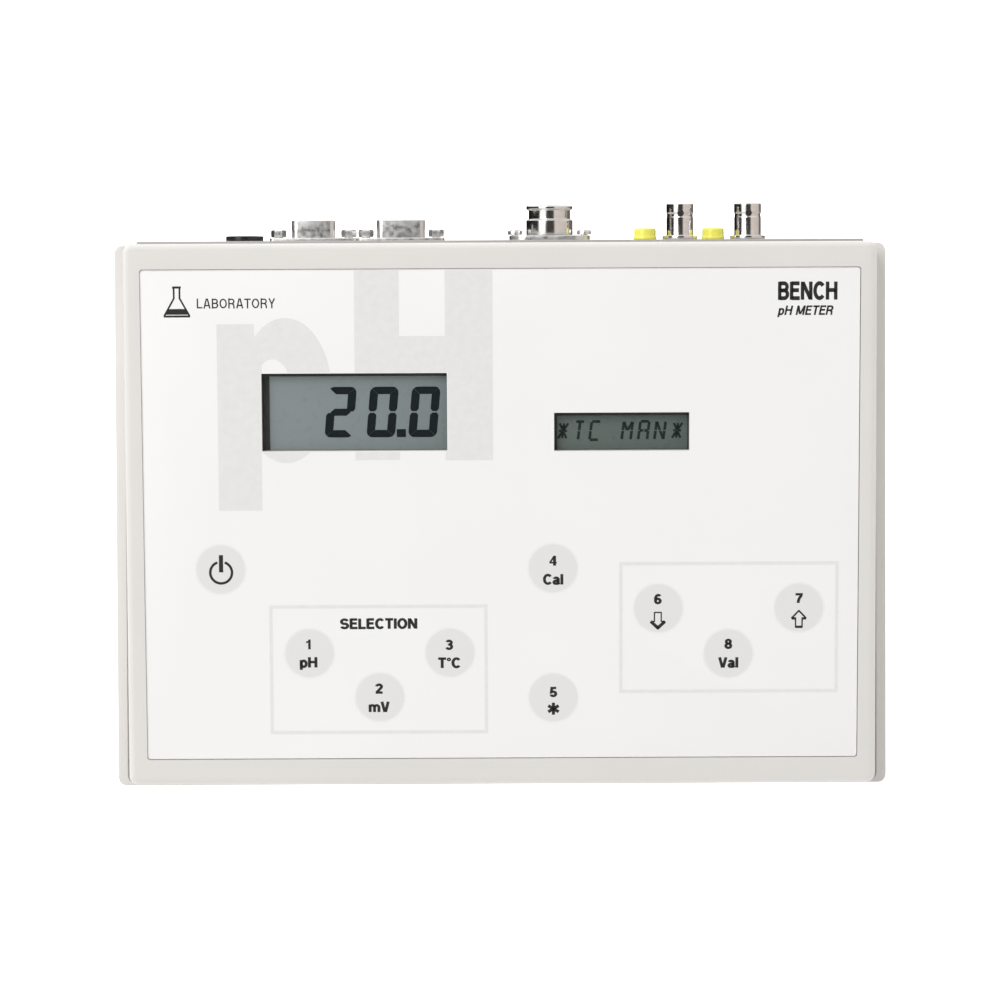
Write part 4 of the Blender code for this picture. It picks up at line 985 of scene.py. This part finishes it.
def main_display():
    """Main display: a slanted seven-segment reading."""
    display_module("main", "lcd")
    # Wide left and rear mask margins are painted shade from the window edges; the thin ones are the mask
    # itself.
    mask_with_painted_shade("main", (2.6, 0.1, 0.1, 1.25))
    top = local_box("main_lcd", PANEL)[1].z + LCD_RAISE
    bm = bmesh.new()
    outlines = digit_outlines(DIGIT_WIDTH, DIGIT_HEIGHT, 2.6, 2.9, 0.42, 2.2)
    for start, digit in DIGIT_STARTS.items():
        for segment in DIGITS[digit]:
            points = [((start + a + b * SEGMENT_SLANT) * MM, (DIGIT_BASE + b) * MM)
                      for a, b in outlines[segment]]
            solid(bm, points, top, top + SEGMENT_THICKNESS)
    low, high = ((x * MM, y * MM) for x, y in POINT)
    add_box(bm, (*low, top), (*high, top + SEGMENT_THICKNESS))
    piece("main_reading", bm, "segment", "case", PANEL)


CELL = {"a": ((0, 1), (1, 1)), "b": ((1, 1), (1, 0.5)), "c": ((1, 0.5), (1, 0)), "d": ((0, 0), (1, 0)),
        "e": ((0, 0.5), (0, 0)), "f": ((0, 1), (0, 0.5)), "g": ((0, 0.5), (0.5, 0.5)),
        "h": ((0.5, 0.5), (1, 0.5)), "i": ((0.5, 1), (0.5, 0.5)), "j": ((0.5, 0.5), (0.5, 0)),
        "k": ((0, 1), (0.5, 0.5)), "l": ((0.5, 0.5), (1, 1)),
        "m": ((0, 0), (0.5, 0.5)), "n": ((0.5, 0.5), (1, 0)), "o": ((0.12, 0.74), (0.88, 0.74)),
        "p": ((0.12, 0.26), (0.88, 0.26))}
GLYPHS = {"*": "ghijklmnop", "T": "aij", "C": "adef", "M": "bcefkl", "A": "abcefgh", "N": "bcefkn"}
AUX_TEXT = ((21.9, "*"), (27.5, "T"), (33.1, "C"), (44.4, "M"), (50.2, "A"), (55.9, "N"), (61.9, "*"))
AUX_BASE = 121.7
AUX_CELL = (3.1, 6.4)
AUX_STROKE = 0.92


def aux_display():
    """Second display: a line of fourteen-segment characters."""
    display_module("aux", "aux_lcd")
    # Wide left and rear mask margins are painted shade from the window edges; the thin ones are the mask
    # itself.
    mask_with_painted_shade("aux", (1.1, 0.5, 0.15, 1.3))
    top = local_box("aux_lcd", PANEL)[1].z + LCD_RAISE
    bm = bmesh.new()
    width, height = AUX_CELL
    for middle, glyph in AUX_TEXT:
        squat = 0.86 if glyph == "*" else 1.0
        for segment in GLYPHS[glyph]:
            ends = []
            for a, b in CELL[segment]:
                rise = b * height * squat + (1 - squat) * height / 2
                ends.append(Vector((middle + (a - 0.5) * width
                                    + (rise - height / 2) * SEGMENT_SLANT * 1.5, AUX_BASE + rise)) * MM)
            along = (ends[1] - ends[0]).normalized() * 0.16 * MM
            thickness = AUX_STROKE * (0.85 if glyph == "*" else 1.0)
            strip(bm, ends[0] + along, ends[1] - along, thickness * MM, top, top + SEGMENT_THICKNESS)
    piece("aux_reading", bm, "aux_segment", "case", PANEL)


# ---------------------------------------------------------------- rear panel and sockets
def rear_plate():
    """Painted rear plate with softened edges and every socket's hole."""
    bm = bmesh.new()
    plate(bm, *local_box("rear_panel", REAR), 1.0 * MM, 0.25 * MM)
    made = to_object(bm)
    holes = bmesh.new()
    for node, radius in SOCKET_HOLES.items():
        add_rod(holes, radius * MM, -3 * WALL, WALL, (middle_of(node, REAR).x, 0))
    for node in ("serial_shell", "output_shell"):
        x = middle_of(node, REAR).x
        add_box(holes, (x - 9 * MM, -4.8 * MM, -3 * WALL), (x + 9 * MM, 4.8 * MM, WALL))
    cut(made, holes)
    dress(made, "rear_plate", "rear_plate", "case", REAR, ["rear_panel"])


def reaches(node):
    """Middle x of a rear panel node, and its outer and inner end in millimetres."""
    low, high = local_box(node, REAR)
    return (low.x + high.x) / 2, high.z / MM, low.z / MM


def bnc(node):
    """Coaxial bayonet socket: washer, hexagon, grooved barrel, lugs, insulator and contact."""
    x, reach, back = reaches(node)
    profile = [(4.05, reach), (4.55, reach), (4.8, reach - 0.3), (4.8, reach - 3.2), (4.6, reach - 3.7),
               (4.6, reach - 4.6), (4.75, reach - 5.1), (4.75, 1.7), (6.2, 1.45), (6.2, 0.35), (4.7, 0.35),
               (4.7, 0.0)]
    for turn in range(12):
        z = -0.4 - turn * (abs(back) - 1.0) / 12
        profile += [(4.72, z), (4.45, z - 0.4)]
    profile = [(a * MM, b * MM) for a, b in profile + [(4.5, back), (4.05, back)]]
    bm = bmesh.new()
    lathe(bm, softened(profile, 0.12 * MM, 2), (x, 0), 72)
    for side in (-1, 1):
        place = (Matrix.Translation((x, side * 5.05 * MM, (reach - 3.5) * MM))
                 @ Matrix.Rotation(math.pi / 2, 4, "X"))
        for radius, depth in ((1.15 * MM, 0.9 * MM), (0.9 * MM, 1.3 * MM)):
            bmesh.ops.create_cone(bm, cap_ends=True, segments=24, radius1=radius, radius2=radius,
                                  depth=depth, matrix=place)
    piece(node + "_barrel", bm, "chrome", place=REAR, replaces=[node])
    nut = bmesh.new()
    low, high = local_box(node + "_nut", REAR)
    hexagon(nut, x, 12.5 * MM, 5.1 * MM, low.z, high.z)
    piece(node + "_hexagon", nut, "screw_steel", place=REAR, replaces=[node + "_nut"])
    turned(node + "_insulator", [(0.8, reach - 3.5), (2.4, reach - 3.5), (2.4, 4.0), (3.8, 4.0),
                                 (3.8, back + 0.2), (0.8, back + 0.2)],
           "white_plastic", x, [node + "_contact"], None, 0.15, 2, 48)
    tail = reaches(node + "_contact")[2]
    turned(node + "_pin", [(0, reach - 6.0), (0.42, reach - 6.0), (0.42, reach - 3.3), (0.74, reach - 3.3),
                           (0.74, tail + 0.3), (0, tail)], "brass", x, (), "chrome", 0.08, 2, 32)


def hexagon(bm, x, across, hole, low, high):
    """A chamfered hexagonal nut with a plain hole, added to bm."""
    chamfer = (high - low) * 0.22
    corner = across / 2 / math.cos(math.pi / 6)
    rings = []
    for scale, z in ((0.93, high), (1.0, high - chamfer), (1.0, low + chamfer), (0.93, low)):
        rings.append([bm.verts.new((x + corner * scale * math.cos(math.pi / 3 * k),
                                    corner * scale * math.sin(math.pi / 3 * k), z)) for k in range(6)])
    steps = 36
    angles = [2 * math.pi * k / steps for k in range(steps)]
    bore = [[bm.verts.new((x + hole * math.cos(a), hole * math.sin(a), z)) for a in angles]
            for z in (high, low)]
    for upper, lower in zip(rings, rings[1:]):
        for k in range(6):
            bm.faces.new((upper[k], lower[k], lower[(k + 1) % 6], upper[(k + 1) % 6]))
    each = steps // 6
    for k in range(6):
        for ring_row, bore_row in ((rings[0], bore[0]), (rings[-1], bore[1])):
            arc_points = [bore_row[(k * each + j) % steps] for j in range(each + 1)]
            bm.faces.new([ring_row[k], ring_row[(k + 1) % 6]] + list(reversed(arc_points)))
    for k in range(steps):
        bm.faces.new((bore[0][k], bore[0][(k + 1) % steps], bore[1][(k + 1) % steps], bore[1][k]))


def laboratory_socket(node):
    """Yellow 4 mm socket with a metal sleeve."""
    x, top, back = reaches(node)
    turned(node + "_body", [(2.5, top - 0.9), (2.75, top), (3.3, top), (3.85, top - 0.5), (3.85, 1.4),
                            (4.1, 1.1), (4.1, 0.35), (3.75, 0.35), (3.75, back + 1), (3.3, back),
                            (2.5, back)],
           "yellow_plastic", x, [node], None, 0.18)
    turned(node + "_sleeve", [(0, back + 1.5), (2.05, back + 1.5), (2.05, top - 0.7), (2.46, top - 0.7),
                              (2.46, back), (0, back)], "chrome", x, (), None, 0.08, 2, 48)


def supply_socket():
    """Black supply socket with its collar, centre pin and nut."""
    x, top, back = reaches("dc_socket")
    turned("supply_socket", [(0, top - 9.4), (3.2, top - 9.4), (3.2, top - 0.4), (3.6, top), (6.35, top),
                             (6.65, top - 0.3), (6.65, 0.35), (5.4, 0.35), (5.4, back), (0, back)],
           "black_plastic", x, ["dc_socket"], None, 0.08, 3, 72)
    turned("supply_pin", [(0, top - 1.0), (1.02, top - 1.0), (1.02, top - 9.3), (0, top - 9.3)],
           "chrome", x, (), None, 0.35, 4, 32)
    nut = bmesh.new()
    low, high = local_box("dc_socket_nut", REAR)
    hexagon(nut, x, 14 * MM, 5.8 * MM, low.z, high.z)
    piece("supply_nut", nut, "black_plastic", place=REAR, replaces=["dc_socket_nut"])


def probe_socket():
    """Plated round probe socket with stepped barrel, keyed insert and two flange screws."""
    x, top, back = reaches("probe_socket")
    low, high = local_box("probe_socket", REAR)
    flange = bmesh.new()
    plate(flange, (low.x, low.y + 0.25 * MM, CLEARANCE), (high.x, high.y - 0.25 * MM, CLEARANCE + 1.6 * MM),
          6.5 * MM, 0.35 * MM, 10)
    made = to_object(flange)
    cut(made, rods(6.4 * MM, -3 * WALL, 3 * WALL, [(x, 0)], 72))
    dress(made, "probe_flange", "sheet_steel", "case", REAR)
    turned("probe_barrel", [(6.35, top), (7.7, top), (8.25, top - 0.45), (8.25, top - 1.3), (7.4, top - 1.7),
                            (7.4, 7.6), (8.25, 7.2), (8.25, 2.0), (7.4, 1.95), (7.4, back), (6.35, back)],
           "chrome", x, ["probe_socket"], None, 0.2, 3, 96)
    low, high = local_box("probe_socket_insert", REAR)
    radius = (high.x - low.x) / 2
    insert = bmesh.new()
    profile = [(0, high.z), (radius, high.z), (radius, low.z), (0, low.z)]
    lathe(insert, softened(profile, 0.3 * MM), (x, 0), 64)
    made = to_object(insert)
    spots = [(x, 0)] + [(x + 3.6 * MM * math.cos(a), 3.6 * MM * math.sin(a))
                        for a in (math.radians(-60 + 60 * k) for k in range(6))]
    cut(made, rods(0.7 * MM, high.z - 4 * MM, high.z + MM, spots, 20))
    dress(made, "probe_insert", "black_plastic", "case", REAR, ["probe_socket_insert"])
    for number in (1, 2):
        screw(f"probe_fixing_{number}", f"probe_socket_screw_{number}", REAR, 1.2 * MM, 2.5 * MM, 1.8 * MM,
              False, 2.8 * MM)


def d_shape(bm, width, height, low, high, corner=1.6 * MM):
    """A D-shaped block, narrower at the bottom."""
    narrowing = height * math.tan(math.radians(10))
    for vert in add_box(bm, (-width / 2, -height / 2, low), (width / 2, height / 2, high)):
        if vert.co.y > 0:
            vert.co.x -= math.copysign(narrowing, vert.co.x)
    bevel(bm, corner, rises, 6)


PIN_STEP = (2.77 * MM, 2.84 * MM)


def pin_spots(x):
    """Places of the nine contacts of a D connector."""
    for row, count in ((-0.5, 5), (0.5, 4)):
        for index in range(count):
            yield x + (index - (count - 1) / 2) * PIN_STEP[0], row * PIN_STEP[1]


def d_connector(kind, width, height, pins):
    """A nine-way D connector with pressed shell, moulded insert and contacts."""
    low, high = local_box(kind + "_shell", REAR)
    x, reach = (low.x + high.x) / 2, high.z
    flange_top = CLEARANCE + 1.0 * MM
    place = REAR @ Matrix.Translation((x, 0, 0))
    bm = bmesh.new()
    plate(bm, (low.x - x, low.y, CLEARANCE), (high.x - x, high.y, flange_top), 1.5 * MM, 0.3 * MM)
    made = to_object(bm)
    collar = bmesh.new()
    d_shape(collar, width, height, CLEARANCE + 0.4 * MM, reach, 2.7 * MM)
    bevel(collar, 0.35 * MM, level(reach), 4)
    combine(made, collar, "UNION")
    tunnel = bmesh.new()
    d_shape(tunnel, width - MM, height - MM, -WALL, 3 * WALL, 2.3 * MM)
    cut(made, tunnel)
    cut(made, rods(1.8 * MM, -WALL, WALL, [(side * JACKSCREW_REACH, 0) for side in (-1, 1)], 32))
    dress(made, kind + "_connector_shell", "sheet_steel", "case", place, [kind + "_shell"])

    insert_low = local_box(kind + "_insert", REAR)[0].z
    face = flange_top if pins else reach - 0.4 * MM
    core = bmesh.new()
    d_shape(core, width - 1.6 * MM, height - 1.6 * MM, insert_low, face, 2.0 * MM)
    bevel(core, 0.15 * MM, level(face), 2)
    made = to_object(core)
    combine(made, boxes(((-9.5 * MM, -5.5 * MM, insert_low), (9.5 * MM, 5.5 * MM, -2.3 * MM))), "UNION")
    spots = list(pin_spots(0))
    if pins:
        profile = ((0, 5.0), (0.25, 4.9), (0.45, 4.5), (0.5, 4.0), (0.5, -1.0), (0, -1.0))
    else:
        profile = ((0.33, -0.5), (0.5, -0.5), (0.5, -3.5), (0.33, -3.5))
        cut(made, rods(0.55 * MM, face - 4 * MM, face + MM, spots, 16))
    dress(made, kind + "_connector_insert", "black_plastic", "case", place, [kind + "_insert"])
    contacts = bmesh.new()
    for spot in spots:
        lathe(contacts, [(radius * MM, face + z * MM) for radius, z in profile], spot, 16)
    piece(kind + "_contacts", contacts, "brass", place=place)


def jackscrews():
    """Hexagonal jackscrews with a chamfered end and a threaded hole."""
    for number in range(1, 5):
        node = f"jackscrew_{number}"
        low, high = local_box(node, REAR)
        x, base = (low.x + high.x) / 2, CLEARANCE * 2 + MM
        bm = bmesh.new()
        hexagon(bm, x, 4.75 * MM, 1.25 * MM, base, high.z)
        plug = [(0, base + MM), (1.24 * MM, base + MM), (1.24 * MM, base + 0.1 * MM), (0, base + 0.1 * MM)]
        lathe(bm, plug, (x, 0), 24)
        shank = [(0, base + 0.4 * MM), (1.45 * MM, base + 0.4 * MM), (1.45 * MM, low.z), (0, low.z)]
        lathe(bm, softened(shank, 0.3 * MM), (x, 0), 24)
        piece(f"jack_post_{number}", bm, "screw_steel", place=REAR, replaces=[node])


# ---------------------------------------------------------------- inner pieces
def inner_pieces():
    """CAD nodes that stay as they are get their looks."""
    looks = {"display_board": "board", "main_board": "board", "ribbon_cable": "ribbon",
             "input_shield": "sheet_steel"}
    looks.update({name: "screw_steel" for name in frame["nodes"] if "board_screw" in name})
    for name, look in looks.items():
        node = frame["nodes"][name]
        node.data.materials.clear()
        node.data.materials.append(LOOKS[look].material)


# ---------------------------------------------------------------- camera, light and floor
def camera():
    """Straight above the meter, a touch turned."""
    lens = bpy.data.cameras.new("camera")
    lens.lens = 123.05
    lens.sensor_width = 36
    lens.clip_end = 20
    made = bpy.data.objects.new("camera", lens)
    made.location = (-0.00035, -0.00198, 1.250)
    made.rotation_euler = (0, 0, math.radians(-0.26))
    bpy.context.scene.collection.objects.link(made)
    bpy.context.scene.camera = made


def area(name, location, size, power, mirrored=True):
    """A soft square light aimed at the meter; mirrored says whether shiny metal shows it."""
    light = bpy.data.lights.new(name, "AREA")
    light.shape = "RECTANGLE"
    light.size = light.size_y = size
    light.energy = power
    made = bpy.data.objects.new(name, light)
    made.location = location
    made.rotation_euler = (Vector((0, 0, 0.03)) - Vector(location)).to_track_quat("-Z", "Y").to_euler()
    made.visible_glossy = mirrored
    bpy.context.scene.collection.objects.link(made)


# What shiny metal sees round the meter, by direction from straight up: (share of a turn, colour).
SURROUND = ((0.0, (0.012, 0.011, 0.010)), (0.340, (0.012, 0.011, 0.010)), (0.352, (1.35, 1.33, 1.30)),
            (0.438, (1.35, 1.33, 1.30)), (0.448, (0.030, 0.028, 0.026)), (0.560, (0.040, 0.037, 0.034)),
            (0.572, (0.78, 0.71, 0.66)), (0.780, (0.64, 0.57, 0.53)), (0.830, (0.16, 0.14, 0.125)))


AMBIENT_TINT = (1.0, 0.99, 0.975)
FORE_AND_AFT = (0.32, 0.42)  # steepness along y where reflections turn from the flats to plain white
FLAT_WHITE = (0.95, 0.94, 0.92, 1)


def surround():
    """Even pale light for everything but mirror reflections, which see dark and bright flats."""
    world = bpy.data.worlds.new("surround")
    world.use_nodes = True
    tree = world.node_tree
    around = add_node(tree, "TexCoord").outputs["Generated"]
    x, y, z = add_node(tree, "SeparateXYZ", {"Vector": around}).outputs
    turn = add_node(tree, "Math", {0: x, 1: z}, operation="ARCTAN2").outputs["Value"]
    share = add_node(tree, "MapRange", {"Value": turn, "From Min": -math.pi, "From Max": math.pi})
    ramp = add_node(tree, "ValToRGB", {"Fac": share.outputs["Result"]})
    stops = ramp.color_ramp.elements
    for stop, (position, colour) in zip(stops, (SURROUND[0], SURROUND[-1])):
        stop.position, stop.color = position, (*colour, 1)
    for position, colour in SURROUND[1:-1]:
        stops.new(position).color = (*colour, 1)
    steep = add_node(tree, "Math", {0: y}, operation="ABSOLUTE").outputs["Value"]
    start, end = FORE_AND_AFT
    edge = add_node(tree, "MapRange", {"Value": steep, "From Min": start, "From Max": end}).outputs["Result"]
    flats = add_node(tree, "Mix", {"Factor": edge, 6: ramp.outputs["Color"], 7: FLAT_WHITE}, data_type="RGBA")
    ambient = (*(AMBIENT * part for part in AMBIENT_TINT), 1)
    mirrored = add_node(tree, "LightPath").outputs["Is Glossy Ray"]
    mixed = add_node(tree, "Mix", {"Factor": mirrored, 6: ambient, 7: flats.outputs[2]}, data_type="RGBA")
    background = tree.nodes["Background"]
    background.inputs["Strength"].default_value = 1.0
    tree.links.new(mixed.outputs[2], background.inputs["Color"])
    bpy.context.scene.world = world


AMBIENT = 0.605
KEY_POWER = 45.3
FILL_POWER = 2.4


def studio():
    """Pale floor, soft key light from the upper left and an even surround."""
    floor = bmesh.new()
    bmesh.ops.create_grid(floor, x_segments=1, y_segments=1, size=4)
    made = to_object(floor, "floor")
    look = Look("floor_paper", (0.85, 0.85, 0.845), 0.8)
    look.shader.inputs["Emission Color"].default_value = (1, 1, 1, 1)
    look.shader.inputs["Emission Strength"].default_value = 1.0
    made.data.materials.append(look.material)
    made.visible_glossy = False
    area("key_light", (-1.54, 1.33, 2.38), 1.7, KEY_POWER)
    area("fill_light", (0.9, -0.9, 1.6), 1.6, FILL_POWER, mirrored=False)
    surround()
    bpy.context.scene.view_settings.view_transform = "Standard"


cover()
tray()
feet()
case_screws()
overlay()
key_discs()
watermark()
panel_frames()
key_legends()
panel_words()
main_display()
aux_display()
rear_plate()
bnc("ph_bnc")
bnc("aux_bnc")
laboratory_socket("reference_socket")
laboratory_socket("earth_socket")
supply_socket()
probe_socket()
d_connector("serial", 16.3 * MM, 7.9 * MM, False)
d_connector("output", 18.0 * MM, 9.6 * MM, True)
jackscrews()
inner_pieces()
camera()
studio()
